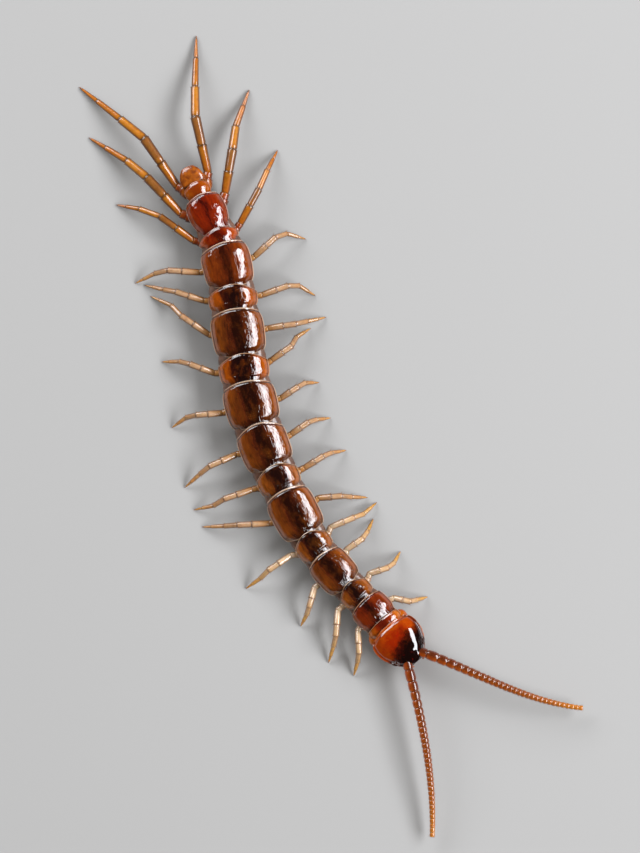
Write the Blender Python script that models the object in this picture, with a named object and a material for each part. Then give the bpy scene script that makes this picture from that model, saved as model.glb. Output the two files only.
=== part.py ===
"""A brown stone centipede, life size and still, resting on its thirty legs.

The body follows one line of arcs from the front of the head (towards -Y) to the tail (+Y).
Every plate, leg and feeler is placed from that line. The animal's left side is +X, the floor is
Z = 0. Sizes in the tables are millimetres and degrees; the scene is in metres.
"""
import math
from typing import NamedTuple

import bmesh
import bpy
from mathutils import Vector

MM = 0.001
SEAM = 0.20                    # gap that neighbouring pieces keep
AXIS_HEIGHT = 1.27             # height of the body line above the floor
LEAN = 0.18                    # how far back each joint runs for each millimetre of height
HEAD_FRONT = (0.31, -13.35)    # where the body line starts
HEAD_HEADING = -17.0           # direction of the line at the head, from +Y towards +X

# Outlines of the back plates: place along the plate from its front, share of the full width
LONG_PLATE = ((0.0, 0.76), (0.10, 0.90), (0.35, 0.98), (0.70, 1.0), (0.92, 0.95), (1.0, 0.84))
SHORT_PLATE = ((0.0, 0.86), (0.15, 0.96), (0.50, 1.0), (0.85, 0.96), (1.0, 0.84))
NECK_PLATE = ((0.0, 0.90), (0.30, 1.0), (0.70, 0.98), (0.92, 0.93), (1.0, 0.84))
TAIL_PLATE = ((0.0, 0.74), (0.15, 0.90), (0.50, 1.0), (0.80, 0.94), (1.0, 0.66))
BAND_PLATE = ((0.0, 0.94), (0.5, 1.0), (1.0, 0.96))
HEAD_PLATE = ((0.0, 0.20), (0.04, 0.36), (0.11, 0.52), (0.22, 0.69), (0.40, 0.86),
              (0.58, 0.97), (0.75, 1.0), (0.90, 0.95), (1.0, 0.80))
END_CAP = ((0.0, 0.84), (0.30, 1.0), (0.65, 0.92), (0.88, 0.68), (1.0, 0.34))


# The head shield from its front: height of its top and of its underside
HEAD_TOP = ((0.0, 1.42), (0.11, 1.60), (0.3, 1.80), (0.6, 1.93), (0.9, 1.90), (1.0, 1.82))
HEAD_UNDER = ((0.0, 1.16), (0.15, 1.04), (0.4, 0.98), (1.0, 0.98))
HEAD_EDGE_SHARE = 0.42
HEAD_UNDERCUT = ((0.95, -0.10), (0.72, 0.10), (0.55, 0.0))   # under the edge, then the flat belly
LOBE_AT, LOBE_RADII = (0.62, 0.24, 1.02), (0.22, 0.40, 0.20)  # the two lobes before the mouth


class Length(NamedTuple):
    """One length of the body: its plate's outline and its sizes."""
    name: str
    outline: tuple
    length: float
    plate: float      # full width of the back plate
    flanks: float     # full width of the soft body under it
    top: float
    belly: float
    turn: float       # how far the body line turns over it


BODY = (
    Length("head", HEAD_PLATE, 2.34, 2.84, 2.20, 1.92, 0.98, -1),
    Length("forcipular_segment", BAND_PLATE, 0.62, 2.14, 1.66, 1.74, 0.46, 0),
    Length("trunk_01", NECK_PLATE, 1.43, 2.22, 1.72, 1.88, 0.50, -2),
    Length("trunk_02", SHORT_PLATE, 1.24, 1.90, 1.64, 1.84, 0.50, -1),
    Length("trunk_03", LONG_PLATE, 2.10, 2.28, 1.80, 1.96, 0.48, 6),
    Length("trunk_04", SHORT_PLATE, 1.40, 2.06, 1.80, 1.94, 0.47, 9),
    Length("trunk_05", LONG_PLATE, 2.59, 2.63, 2.06, 2.08, 0.45, 4),
    Length("trunk_06", SHORT_PLATE, 1.46, 2.39, 2.10, 2.06, 0.45, 2),
    Length("trunk_07", LONG_PLATE, 2.37, 2.77, 2.26, 2.17, 0.45, 6),
    Length("trunk_08", LONG_PLATE, 2.37, 2.93, 2.36, 2.20, 0.45, 7),
    Length("trunk_09", SHORT_PLATE, 1.51, 2.76, 2.34, 2.14, 0.45, 2),
    Length("trunk_10", LONG_PLATE, 2.45, 2.91, 2.34, 2.18, 0.45, 0),
    Length("trunk_11", SHORT_PLATE, 1.32, 2.70, 2.26, 2.10, 0.45, 1),
    Length("trunk_12", LONG_PLATE, 2.32, 2.72, 2.16, 2.10, 0.45, -12),
    Length("trunk_13", SHORT_PLATE, 0.86, 2.28, 1.94, 1.92, 0.48, -4),
    Length("trunk_14", TAIL_PLATE, 2.05, 2.16, 1.72, 1.86, 0.52, -1),
    Length("trunk_15", SHORT_PLATE, 0.75, 1.30, 1.00, 1.58, 0.56, 0),
    Length("telson", END_CAP, 0.92, 1.08, 0.84, 1.46, 0.92, 0),
)

# Section of a trunk length: share of the plate's half width, and share of the arch's rise kept
ARCH = ((0.0, 1.0), (0.30, 0.93), (0.58, 0.70), (0.80, 0.39), (0.92, 0.19))
EDGE_SHARE = 0.56              # height of the plate's edge, as a share of the body's height
RIM_RISE = 0.05                # the raised rim along the plate's edge
RIM_SHARES = (0.97, 0.08)      # where it lies: across the half width, and up the arch
PLATE_THICKNESS = 0.10
PLATE_TUCK = 0.10              # how far a plate's front dips under the one before it
TUCK_SHARE = 0.25              # share of the plate over which it dips
LEAST_OVERHANG = 0.03
BELLY_INSET = (0.72, 0.62, 0.57)   # foot of the flank, foot of the belly plate, its edge
BELLY_RISE = (0.16, 0.10)


class LegPose(NamedTuple):
    """How one leg lies, seen from above: degrees from straight out, towards the tail."""
    coxa: float
    thigh: float
    shin: float
    foot: float
    reach: float      # from the end of the coxa to the tip of the claw


LEFT_LEGS = (
    LegPose(-22, -54, -31, -29, 1.87),
    LegPose(23, -26, -8, 16, 2.15),
    LegPose(42, -7, 12, 23, 2.28),
    LegPose(30, -12, -15, 6, 2.86),
    LegPose(17, -23, -34, -30, 2.68),
    LegPose(3, 7, -2, -16, 2.50),
    LegPose(15, 14, -3, -14, 2.38),
    LegPose(0, 19, 15, -13, 2.31),
    LegPose(28, 25, 52, 22, 2.79),
    LegPose(7, 0, 4, 4, 3.21),
    LegPose(3, 11, -7, -40, 3.10),
    LegPose(16, 29, 6, -29, 3.27),
    LegPose(30, 40, 45, 42, 4.47),
    LegPose(48, 56, 58, 46, 5.76),
    LegPose(51, 78, 66, 64, 7.49),
)
RIGHT_LEGS = (
    LegPose(-21, -50, -39, -32, 2.49),
    LegPose(3, -41, -34, -29, 2.93),
    LegPose(5, -32, -31, -21, 2.27),
    LegPose(28, 1, -11, -1, 3.07),
    LegPose(18, 25, 23, 25, 3.68),
    LegPose(14, 6, -7, 12, 3.41),
    LegPose(19, -3, -18, -21, 3.40),
    LegPose(1, 10, 1, -21, 2.95),
    LegPose(12, 30, 24, 9, 2.97),
    LegPose(20, 43, 55, 33, 3.84),
    LegPose(15, 26, 19, 22, 3.36),
    LegPose(3, 17, 1, -13, 3.65),
    LegPose(38, 57, 42, 32, 4.70),
    LegPose(44, 71, 64, 56, 6.51),
    LegPose(53, 80, 64, 63, 7.64),
)
COXA_LENGTH = (0.65,) * 13 + (0.87, 0.80)      # from the flank to the far end
COXA_STOUTNESS = (0.92,) * 4 + (1.0,) * 9 + (0.96, 0.84)
COXA_END_HEIGHT = (0.86,) * 13 + (0.80, 0.62)
LEG_STOUTNESS = (0.92,) * 4 + (1.0,) * 8 + (1.04, 1.08, 1.12)
LEG_LIFT = (0.0,) * 12 + (0.05, 0.12, 0.16)       # how much higher the hind legs carry their knees
COXA_SHARE = 0.40                                 # height of the coxa's root on the flank
LEG_SIDES = 8


class LegPiece(NamedTuple):
    """One piece of a leg beyond the coxa."""
    sweep: str        # which sweep of the pose it takes
    height: float     # of its far end
    neck: float       # radius near its start
    knee: float       # radius near its end
    knee_at: float = 0.84


LEG_PIECES = (
    LegPiece("thigh", 1.10, 0.21, 0.25),
    LegPiece("thigh", 1.02, 0.205, 0.235),
    LegPiece("shin", 0.56, 0.19, 0.205),
    LegPiece("foot", 0.27, 0.165, 0.165),
    LegPiece("foot", 0.03, 0.13, 0.10, 0.78),
)
# Share of a leg's reach that each piece takes: the hind legs have long shins and feet
PIECE_SHARES = (
    ((0.27, 0.20, 0.20, 0.19, 0.14),) * 12
    + ((0.25, 0.22, 0.255, 0.155, 0.12),)
    + ((0.205, 0.205, 0.22, 0.21, 0.16),) * 2)
NECK_PLACE = 0.16                                 # share of a leg piece before its first ring
KNEE_HEIGHT = 0.5                                 # only joints above this are lifted
COXA_RADIUS, COXA_SWELL = (0.24, 0.235), 0.62     # at the root and at that share of its length
CLAW_RADIUS = 0.05
FLOOR = 0.0

ARTICLES = 30
ARTICLE_EVEN, ARTICLE_EXTRA, ARTICLE_FADE = 0.72, 0.156, 0.12   # the first few are up to twice as long
ANTENNA_SIDES = 7
SOCKET_SIDES = 12
ANTENNA_RADIUS = (0.26, 0.215, 0.13)              # at the base, the middle and the tip
ANTENNA_HEIGHT = (1.34, 1.20, 0.62)
BEAD_DEPTH = 0.12                                 # how far an article swells, as a share of its radius
SOCKET_AT = (0.46, 0.32, 1.34)                    # lateral, behind the head's front, height
SOCKET_RADIUS, SOCKET_LENGTH, SOCKET_DEPTH = 0.27, 0.40, 0.25
SOCKET_LIP = 0.06                                 # the collar's rounded front edge
FEELER_END = 0.55                                 # how far the last article narrows


class Antenna(NamedTuple):
    """Directions at base, middle and tip, in degrees from -Y towards +X, and the length."""
    base: float
    middle: float
    tip: float
    length: float


ANTENNAE = {"l": Antenna(46, 44, 60, 8.76), "r": Antenna(-9, -15, -26, 8.98)}

PLATE_BROWN = (0.102, 0.028, 0.012)
HEAD_ORANGE = (0.402, 0.087, 0.018)
LEG_AMBER = (0.445, 0.205, 0.062)
FEELER_RUST = (0.262, 0.060, 0.019)
EYE_BLACK = (0.010, 0.008, 0.008)

EYE_SEAM = 0.10                                   # the eyes are so small that they keep half the gap
EYE_PLACE, EYE_HEIGHT = 0.28, 1.52                # share of the head's length behind its front
EYE_INSET = 0.90                                  # share of the head's half width
EYE_AHEAD = 0.13                                  # as EYE_PLACE, to a point that gives its long axis
EYE_LOOK_UP = 0.75                                # how far up it looks for each 1 that it looks out
EYE_RADII = (0.24, 0.17, 0.11)
EYE_SIDES, EYE_ROWS = 14, 8
OCELLUS_RADIUS = 0.055
OCELLI = ((-1, 3), (0, 4), (1, 3))                # rows from low to high, with the count in each
OCELLUS_STEPS = (2.1, 1.8)                        # their spacing in a row and between rows, in radii


# The plate under the head that carries the poison jaws: distance behind the head's front and half
# width, then its section as share of the half width and height
JAW_PLATE = ((1.15, 0.52), (1.35, 0.66), (2.60, 0.70))
JAW_PLATE_SECTION = ((0.0, 0.74), (0.8, 0.74), (1.0, 0.66), (1.0, 0.46), (0.9, 0.42), (0.0, 0.42))


class JawStation(NamedTuple):
    """One place along a poison jaw, from its root round to the tip of its claw."""
    back: float       # behind the head's front
    lateral: float
    height: float
    radius: float


JAW = (
    JawStation(2.12, 0.70, 0.58, 0.24),
    JawStation(2.02, 1.02, 0.57, 0.25),
    JawStation(1.72, 1.13, 0.55, 0.25),
    JawStation(1.30, 1.12, 0.53, 0.23),
    JawStation(0.92, 0.93, 0.51, 0.19),
    JawStation(0.66, 0.62, 0.50, 0.14),
    JawStation(0.54, 0.30, 0.50, 0.09),
    JawStation(0.52, 0.10, 0.50, 0.035),
)


def line_knots():
    """Start of each length on the body line: distance, x, y and heading."""
    knots = []
    distance, (x, y), heading = 0.0, HEAD_FRONT, math.radians(HEAD_HEADING)
    for part in BODY:
        knots.append((distance, x, y, heading))
        x, y, heading = along_arc(x, y, heading, part, part.length)
        distance += part.length
    return knots


def along_arc(x, y, heading, part, travel):
    """End of a stretch of one length's arc."""
    bend = math.radians(part.turn) * travel / part.length
    chord = travel * (math.sin(bend / 2) / (bend / 2) if bend else 1.0)
    middle = heading + bend / 2
    return x + chord * math.sin(middle), y + chord * math.cos(middle), heading + bend


KNOTS = line_knots()
STARTS = {part.name: knot[0] for part, knot in zip(BODY, KNOTS)}
LENGTHS = {part.name: part for part in BODY}


def place(distance):
    """Point on the body line with its leftward and tailward directions."""
    index = max((i for i, knot in enumerate(KNOTS) if knot[0] <= distance), default=0)
    start, x, y, heading = KNOTS[index]
    x, y, heading = along_arc(x, y, heading, BODY[index], distance - start)
    left = Vector((math.cos(heading), -math.sin(heading), 0.0))
    tailward = Vector((math.sin(heading), math.cos(heading), 0.0))
    return Vector((x, y, 0.0)), left, tailward


def body_point(distance, lateral, height):
    """A point given by its distance along the line, its place to the left and its height."""
    point, left, _ = place(distance + LEAN * (height - AXIS_HEIGHT))
    return point + left * lateral + Vector((0.0, 0.0, height))


def between(table, value):
    """Straight-line reading of a table of (place, value) pairs."""
    for (a, low), (b, high) in zip(table, table[1:]):
        if value <= b:
            share = (value - a) / (b - a)
            return low + (high - low) * max(share, 0.0)
    return table[-1][1]


def middles(field):
    """A size at the middle of each length, as a table along the line."""
    return [(STARTS[part.name] + part.length / 2, getattr(part, field)) for part in BODY[1:]]


FLANKS, BELLY, TOP = middles("flanks"), middles("belly"), middles("top")


def flank(distance):
    """The wall that a leg grows from: its upper and lower ends, as (lateral, height)."""
    half = between(FLANKS, distance) / 2
    belly, top = between(BELLY, distance), between(TOP, distance)
    edge = belly + EDGE_SHARE * (top - belly)
    return (half, edge - PLATE_THICKNESS), (half * BELLY_INSET[0], belly + BELLY_RISE[0])


def trunk_section(distance, half_plate, tuck):
    """Half of a trunk section, from the middle of the back to the middle of the belly."""
    upper, lower = flank(distance)
    half, belly = upper[0], between(BELLY, distance)
    edge = upper[1] + PLATE_THICKNESS
    top = between(TOP, distance) - tuck
    half_plate = max(half_plate, half + LEAST_OVERHANG)
    section = [(half_plate * share, edge + (top - edge) * rise) for share, rise in ARCH]
    section += [
        (half_plate * RIM_SHARES[0], edge + (top - edge) * RIM_SHARES[1] + RIM_RISE),
        (half_plate, edge),
        (half_plate * 0.99, edge - PLATE_THICKNESS / 2),
        upper,
        lower,
        (half * BELLY_INSET[1], belly + BELLY_RISE[1]),
        (half * BELLY_INSET[2], belly),
        (0.0, belly),
    ]
    return section


def head_section(share, half_plate):
    """Half of a head section: the vaulted shield, its rim, and the flat underside."""
    top, belly = between(HEAD_TOP, share), between(HEAD_UNDER, share)
    edge = belly + HEAD_EDGE_SHARE * (top - belly)
    below_edge, above_belly, belly_edge = HEAD_UNDERCUT
    section = [(half_plate * across, edge + (top - edge) * rise) for across, rise in ARCH]
    section += [
        (half_plate * RIM_SHARES[0], edge + (top - edge) * RIM_SHARES[1] + RIM_RISE / 2),
        (half_plate, edge),
        (half_plate * below_edge[0], edge + below_edge[1]),
        (half_plate * above_belly[0], belly + above_belly[1]),
        (half_plate * belly_edge[0], belly),
        (0.0, belly),
    ]
    return section


def full_ring(distance, half):
    """Both halves of a section as one closed ring of points."""
    left = [body_point(distance, lateral, height) for lateral, height in half]
    right = [body_point(distance, -lateral, height) for lateral, height in half[-2:0:-1]]
    return left + right


def skin(rings):
    """A closed mesh through rings that have the same number of points, with both ends capped."""
    shape = bmesh.new()
    rows = [[shape.verts.new(point * MM) for point in ring] for ring in rings]
    count = len(rows[0])
    for row, following in zip(rows, rows[1:]):
        for i in range(count):
            j = (i + 1) % count
            shape.faces.new((row[i], row[j], following[j], following[i]))
    shape.faces.new(rows[0])
    shape.faces.new(rows[-1])
    bmesh.ops.recalc_face_normals(shape, faces=shape.faces)
    bmesh.ops.triangulate(shape, faces=shape.faces)
    return shape


def round_ring(centre, direction, radius, sides, floor=None):
    """A circle of points square to a direction, with none below the floor."""
    across = direction.cross(Vector((0.0, 0.0, 1.0))).normalized()
    upward = across.cross(direction).normalized()
    ring = []
    for i in range(sides):
        turn = 2 * math.pi * (i + 0.5) / sides
        point = centre + radius * (across * math.sin(turn) + upward * math.cos(turn))
        if floor is not None:
            point.z = max(point.z, floor)
        ring.append(point)
    return ring


def material(name, colour, roughness):
    """A glossy horn-like finish."""
    finish = bpy.data.materials.new(name)
    finish.use_nodes = True
    shader = finish.node_tree.nodes["Principled BSDF"]
    shader.inputs["Base Color"].default_value = (*colour, 1.0)
    shader.inputs["Roughness"].default_value = roughness
    finish.diffuse_color = (*colour, 1.0)
    return finish


def add_object(name, shape, origin, collection, parent=None):
    """Makes an object of a bmesh, with its origin at the given point."""
    bmesh.ops.translate(shape, verts=shape.verts, vec=-origin * MM)
    mesh = bpy.data.meshes.new(name)
    shape.to_mesh(mesh)
    shape.free()
    obj = bpy.data.objects.new(name, mesh)
    obj.location = origin * MM
    obj.parent = parent
    collection.objects.link(obj)
    return obj


def largest_surface(obj):
    """Removes every closed surface of a mesh but its largest."""
    shape = bmesh.new()
    shape.from_mesh(obj.data)
    shape.verts.ensure_lookup_table()
    island_of = [-1] * len(shape.verts)
    sizes = []
    for seed in shape.verts:
        if island_of[seed.index] >= 0:
            continue
        island_of[seed.index] = len(sizes)
        front, size = [seed], 0
        while front:
            vert = front.pop()
            size += 1
            for edge in vert.link_edges:
                other = edge.other_vert(vert)
                if island_of[other.index] < 0:
                    island_of[other.index] = len(sizes)
                    front.append(other)
        sizes.append(size)
    keep = sizes.index(max(sizes))
    scraps = [vert for vert in shape.verts if island_of[vert.index] != keep]
    bmesh.ops.delete(shape, geom=scraps, context="VERTS")
    bmesh.ops.triangulate(shape, faces=shape.faces)
    shape.faces.sort(key=lambda face: min(vert.index for vert in face.verts))
    shape.to_mesh(obj.data)
    shape.free()


def apply_boolean(obj, pieces, operation):
    """Joins closed pieces to an object or cuts them from it, in one step, and removes them."""
    group = bpy.data.collections.new(obj.name + "_pieces")
    bpy.context.scene.collection.children.link(group)
    for piece in pieces:
        group.objects.link(piece)
        piece.display_type = "WIRE"
        piece.hide_render = True
    change = obj.modifiers.new(operation.title(), "BOOLEAN")
    change.operation = operation
    change.operand_type = "COLLECTION"
    change.collection = group
    change.solver = "MANIFOLD"      # its points come out the same each run
    bpy.context.view_layer.objects.active = obj
    bpy.ops.object.modifier_apply(modifier=change.name)
    for piece in pieces:
        bpy.data.objects.remove(piece)
    bpy.data.collections.remove(group)
    largest_surface(obj)


class Builder:
    """Puts every finished piece in the animal's collection, with a material of its own."""

    def __init__(self):
        self.collection = bpy.data.collections.new("stone_centipede")
        bpy.context.scene.collection.children.link(self.collection)
        self.carrier = bpy.data.objects.new("centipede", None)
        self.collection.objects.link(self.carrier)
        self.scratch = bpy.data.collections.new("loose_pieces")
        bpy.context.scene.collection.children.link(self.scratch)

    def add(self, name, shape, origin, colour, roughness):
        obj = add_object(name, shape, origin, self.collection, self.carrier)
        obj.data.materials.append(material(name + "_finish", colour, roughness))
        for polygon in obj.data.polygons:
            polygon.use_smooth = True
        obj.data.set_sharp_from_angle(angle=math.radians(40))
        return obj

    def loose(self, shape):
        """A closed piece that waits to be joined or cut."""
        obj = add_object("loose", shape, Vector((0.0, 0.0, 0.0)), self.scratch)
        self.scratch.objects.unlink(obj)
        return obj


def seam_ends(part):
    """Where a length's solid starts and ends on the line, half a gap inside its borders."""
    start = STARTS[part.name]
    return start + SEAM / 2, start + part.length - SEAM / 2


def build_trunk(builder, part):
    """One body length: soft flanks, a belly plate, and the back plate raised over them."""
    start, end = seam_ends(part)
    rings = []
    for share, width in part.outline:
        distance = start + (end - start) * share
        tuck = PLATE_TUCK * max(0.0, 1.0 - share / TUCK_SHARE)
        rings.append(full_ring(distance, trunk_section(distance, part.plate / 2 * width, tuck)))
    origin = body_point((start + end) / 2, 0.0, AXIS_HEIGHT)
    return builder.add(part.name, skin(rings), origin, PLATE_BROWN, 0.22)


def build_telson(builder, part):
    """The blunt last piece, rounded off in plan and from the side."""
    start, end = seam_ends(part)
    middle = (part.top + part.belly) / 2
    rings = []
    for share, width in part.outline:
        distance = start + (end + SEAM / 2 - start) * share
        half = part.plate / 2 * width
        rise = (part.top - part.belly) / 2 * width
        section = [
            (half * math.sin(turn), middle + rise * math.cos(turn))
            for turn in (math.pi * step / 6 for step in range(7))
        ]
        rings.append(full_ring(distance, section))
    return builder.add(part.name, skin(rings), body_point(start, 0.0, middle), HEAD_ORANGE, 0.25)


def build_head(builder, part):
    """The head shield with its two feeler sockets, its mouth lobes and a seat for each eye."""
    _, end = seam_ends(part)
    rings = []
    for share, width in part.outline:
        rings.append(full_ring(end * share, head_section(share, part.plate / 2 * width)))
    head = builder.add("head", skin(rings), body_point(end, 0.0, AXIS_HEIGHT), HEAD_ORANGE, 0.2)
    extras = [builder.loose(socket_shape(side)) for side in ("l", "r")]
    extras += [builder.loose(mouth_lobe(sign)) for sign in (1, -1)]
    apply_boolean(head, extras, "UNION")
    seats = []
    for sign in (1, -1):
        long, wide, deep = EYE_RADII
        hollow = (long + EYE_SEAM, wide + EYE_SEAM, deep + 3 * EYE_SEAM)
        seats.append(builder.loose(eye_blob(sign, hollow)))
    apply_boolean(head, seats, "DIFFERENCE")
    return head


def antenna_directions(side):
    """Base point and unit direction of a feeler at its root."""
    sign = 1 if side == "l" else -1
    lateral, back, height = SOCKET_AT
    heading = math.radians(ANTENNAE[side].base)
    direction = Vector((math.sin(heading), -math.cos(heading), 0.0))
    return body_point(back, sign * lateral, height), direction


def socket_shape(side):
    """The short collar that a feeler grows from."""
    start, direction = antenna_directions(side)
    stations = ((-SOCKET_DEPTH, 0.8), (SOCKET_LENGTH - SOCKET_LIP, 1.0), (SOCKET_LENGTH, 0.85))
    return skin([
        round_ring(start + direction * reach, direction, SOCKET_RADIUS * share, SOCKET_SIDES)
        for reach, share in stations
    ])


def mouth_lobe(sign):
    """One of the two lobes in front of the mouth, under the head."""
    shape = bmesh.new()
    bmesh.ops.create_uvsphere(shape, u_segments=12, v_segments=7, radius=1.0)
    back, lateral, height = LOBE_AT
    bmesh.ops.scale(shape, verts=shape.verts, vec=Vector(LOBE_RADII) * MM)
    bmesh.ops.translate(shape, verts=shape.verts, vec=body_point(back, sign * lateral, height) * MM)
    return shape


def eye_frame(sign):
    """Centre of an eye on the head's edge, with its long, upward and outward directions."""
    part = LENGTHS["head"]
    centre, ahead = (
        body_point(part.length * share, sign * EYE_INSET * part.plate / 2 * between(HEAD_PLATE, share),
                   EYE_HEIGHT)
        for share in (EYE_PLACE, EYE_PLACE - EYE_AHEAD)
    )
    along = (ahead - centre).normalized()
    outward = along.cross(Vector((0.0, 0.0, 1.0))) * sign
    outward = (outward.normalized() + Vector((0.0, 0.0, EYE_LOOK_UP))).normalized()
    return centre, along, outward.cross(along).normalized(), outward


def eye_blob(sign, radii):
    """An oval dome with the eye's directions."""
    centre, along, upward, outward = eye_frame(sign)
    shape = bmesh.new()
    bmesh.ops.create_uvsphere(shape, u_segments=EYE_SIDES, v_segments=EYE_ROWS, radius=1.0)
    for vert in shape.verts:
        point = along * vert.co.x * radii[0] + upward * vert.co.y * radii[1] + outward * vert.co.z * radii[2]
        vert.co = (centre + point) * MM
    if sign < 0:
        bmesh.ops.recalc_face_normals(shape, faces=shape.faces)
    return shape


def build_eye(builder, side):
    """A cluster of small round lenses on one oval base."""
    sign = 1 if side == "l" else -1
    centre, along, upward, outward = eye_frame(sign)
    eye = builder.add("eye_" + side, eye_blob(sign, EYE_RADII), centre, EYE_BLACK, 0.1)
    lenses = []
    for row, count in OCELLI:
        for step in range(count):
            across = (step - (count - 1) / 2) * OCELLUS_STEPS[0] * OCELLUS_RADIUS
            up = row * OCELLUS_STEPS[1] * OCELLUS_RADIUS
            reach = 1.0 - (across / EYE_RADII[0]) ** 2 - (up / EYE_RADII[1]) ** 2
            lift = EYE_RADII[2] * math.sqrt(max(reach, 0.0))
            point = centre + along * across + upward * up + outward * lift
            lens = bmesh.new()
            bmesh.ops.create_icosphere(lens, subdivisions=1, radius=OCELLUS_RADIUS * MM)
            bmesh.ops.translate(lens, verts=lens.verts, vec=point * MM)
            lenses.append(builder.loose(lens))
    apply_boolean(eye, lenses, "UNION")
    return eye


def build_forcipular(builder, part):
    """The narrow band behind the head with the plate under the head that carries the jaws."""
    band = build_trunk(builder, part)
    rings = []
    for distance, half in JAW_PLATE:
        section = [(half * across, height) for across, height in JAW_PLATE_SECTION]
        rings.append(full_ring(distance, section))
    apply_boolean(band, [builder.loose(skin(rings))], "UNION")
    return band


def build_forcipule(builder, side):
    """A poison jaw: from the plate's side, forwards under the head and in to the mouth."""
    sign = 1 if side == "l" else -1
    points = [body_point(spot.back, sign * spot.lateral, spot.height) for spot in JAW]
    _, left, _ = place(JAW[0].back)
    outward = left * sign
    points[0] = points[0] + outward * SEAM
    rings = [round_ring(points[0], outward, JAW[0].radius, LEG_SIDES)]
    for before, point, after, spot in zip(points, points[1:], points[2:], JAW[1:]):
        direction = (point - before).normalized() + (after - point).normalized()
        rings.append(round_ring(point, direction.normalized(), spot.radius, LEG_SIDES))
    claw = (points[-1] - points[-2]).normalized()
    rings.append(round_ring(points[-1], claw, JAW[-1].radius, LEG_SIDES))
    return builder.add("forcipule_" + side, skin(rings), points[0], HEAD_ORANGE, 0.2)


def leg_root(number, sign):
    """Centre of the coxa's root on the flank, and the flank's outward direction there."""
    part = LENGTHS[f"trunk_{number:02d}"]
    distance = STARTS[part.name] + part.length / 2
    upper, lower = flank(distance)
    lateral = lower[0] + (upper[0] - lower[0]) * COXA_SHARE
    height = lower[1] + (upper[1] - lower[1]) * COXA_SHARE
    _, left, tailward = place(distance + LEAN * (height - AXIS_HEIGHT))
    slope = Vector((upper[1] - lower[1], -(upper[0] - lower[0]))).normalized()
    outward = left * sign * slope[0] + Vector((0.0, 0.0, slope[1]))
    return body_point(distance, sign * lateral, height), outward, left * sign, tailward


def build_leg(builder, number, side, pose):
    """Coxa, prefemur, femur, shin and foot, each a little thicker towards its far end."""
    sign = 1 if side == "l" else -1
    root, outward, sideways, tailward = leg_root(number, sign)
    stout = LEG_STOUTNESS[number - 1]
    lift = LEG_LIFT[number - 1]

    def step(point, angle, travel, height):
        sweep = math.radians(angle)
        moved = point + (sideways * math.cos(sweep) + tailward * math.sin(sweep)) * travel
        moved.z = height
        return moved

    start = root + outward * SEAM
    joint = step(root, pose.coxa, COXA_LENGTH[number - 1], COXA_END_HEIGHT[number - 1])
    along = (joint - start).normalized()
    hip = COXA_STOUTNESS[number - 1]
    swell, facing = start.lerp(joint, COXA_SWELL), (along + outward).normalized()
    rings = [
        round_ring(start, outward, COXA_RADIUS[0] * hip, LEG_SIDES),
        round_ring(swell, facing, COXA_RADIUS[1] * hip, LEG_SIDES),
    ]
    for piece, share in zip(LEG_PIECES, PIECE_SHARES[number - 1]):
        raised = piece.height + (lift if piece.height > KNEE_HEIGHT else 0.0)
        following = step(joint, getattr(pose, piece.sweep), pose.reach * share, raised)
        along = (following - joint).normalized()
        for at, radius in ((NECK_PLACE, piece.neck), (piece.knee_at, piece.knee)):
            rings.append(round_ring(joint.lerp(following, at), along, radius * stout, LEG_SIDES, FLOOR))
        joint = following
    rings.append(round_ring(joint, along, CLAW_RADIUS, LEG_SIDES, FLOOR))
    return builder.add(f"leg_{side}_{number:02d}", skin(rings), start, LEG_AMBER, 0.3)


def article_share(number):
    """How far along the feeler an article starts."""
    place_in_row = number / ARTICLES
    extra = ARTICLE_EXTRA * (1 - math.exp(-place_in_row / ARTICLE_FADE))
    full = ARTICLE_EVEN + ARTICLE_EXTRA * (1 - math.exp(-1 / ARTICLE_FADE))
    return (ARTICLE_EVEN * place_in_row + extra) / full


def build_antenna(builder, side):
    """A feeler of many bead-like articles, tapering to its tip."""
    pose = ANTENNAE[side]
    start, direction = antenna_directions(side)
    point = start + direction * (SOCKET_LENGTH + SEAM)
    origin = point.copy()
    steps = 2 * ARTICLES
    rings = []
    for i in range(steps + 1):
        share = article_share(i / 2)
        heading = math.radians(
            pose.base * (1 - share) * (1 - 2 * share)
            + pose.middle * 4 * share * (1 - share)
            + pose.tip * share * (2 * share - 1))
        level = Vector((math.sin(heading), -math.cos(heading), 0.0))
        height = between(tuple(zip((0.0, 0.5, 1.0), ANTENNA_HEIGHT)), share)
        radius = between(tuple(zip((0.0, 0.5, 1.0), ANTENNA_RADIUS)), share)
        radius *= 1.0 + (BEAD_DEPTH / 2 if i % 2 else -BEAD_DEPTH / 2)
        if i == steps:
            radius *= FEELER_END
        centre = Vector((point.x, point.y, height))
        rings.append(round_ring(centre, level, radius, ANTENNA_SIDES))
        point = point + level * pose.length * (article_share((i + 1) / 2) - share)
    return builder.add("antenna_" + side, skin(rings), origin, FEELER_RUST, 0.3)


def main():
    for obj in list(bpy.data.objects):
        bpy.data.objects.remove(obj)
    builder = Builder()
    build_head(builder, LENGTHS["head"])
    build_forcipular(builder, LENGTHS["forcipular_segment"])
    for part in BODY[2:-1]:
        build_trunk(builder, part)
    build_telson(builder, LENGTHS["telson"])
    for side in ("l", "r"):
        build_eye(builder, side)
        build_forcipule(builder, side)
        build_antenna(builder, side)
        poses = LEFT_LEGS if side == "l" else RIGHT_LEGS
        for number, pose in enumerate(poses, start=1):
            build_leg(builder, number, side, pose)
    bpy.data.collections.remove(builder.scratch)


main()
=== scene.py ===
"""A brown stone centipede, life size and still, resting on a pale floor in a gentle curve.

The body line, the plates and the legs repeat the part's own sizes, in millimetres and degrees. The
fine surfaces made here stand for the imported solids. The animal's left side is +X, its head points
towards -Y, and the floor is Z = 0.
"""
import math
import random
from typing import NamedTuple

import bmesh
import bpy
from mathutils import Matrix, Vector, noise


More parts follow.
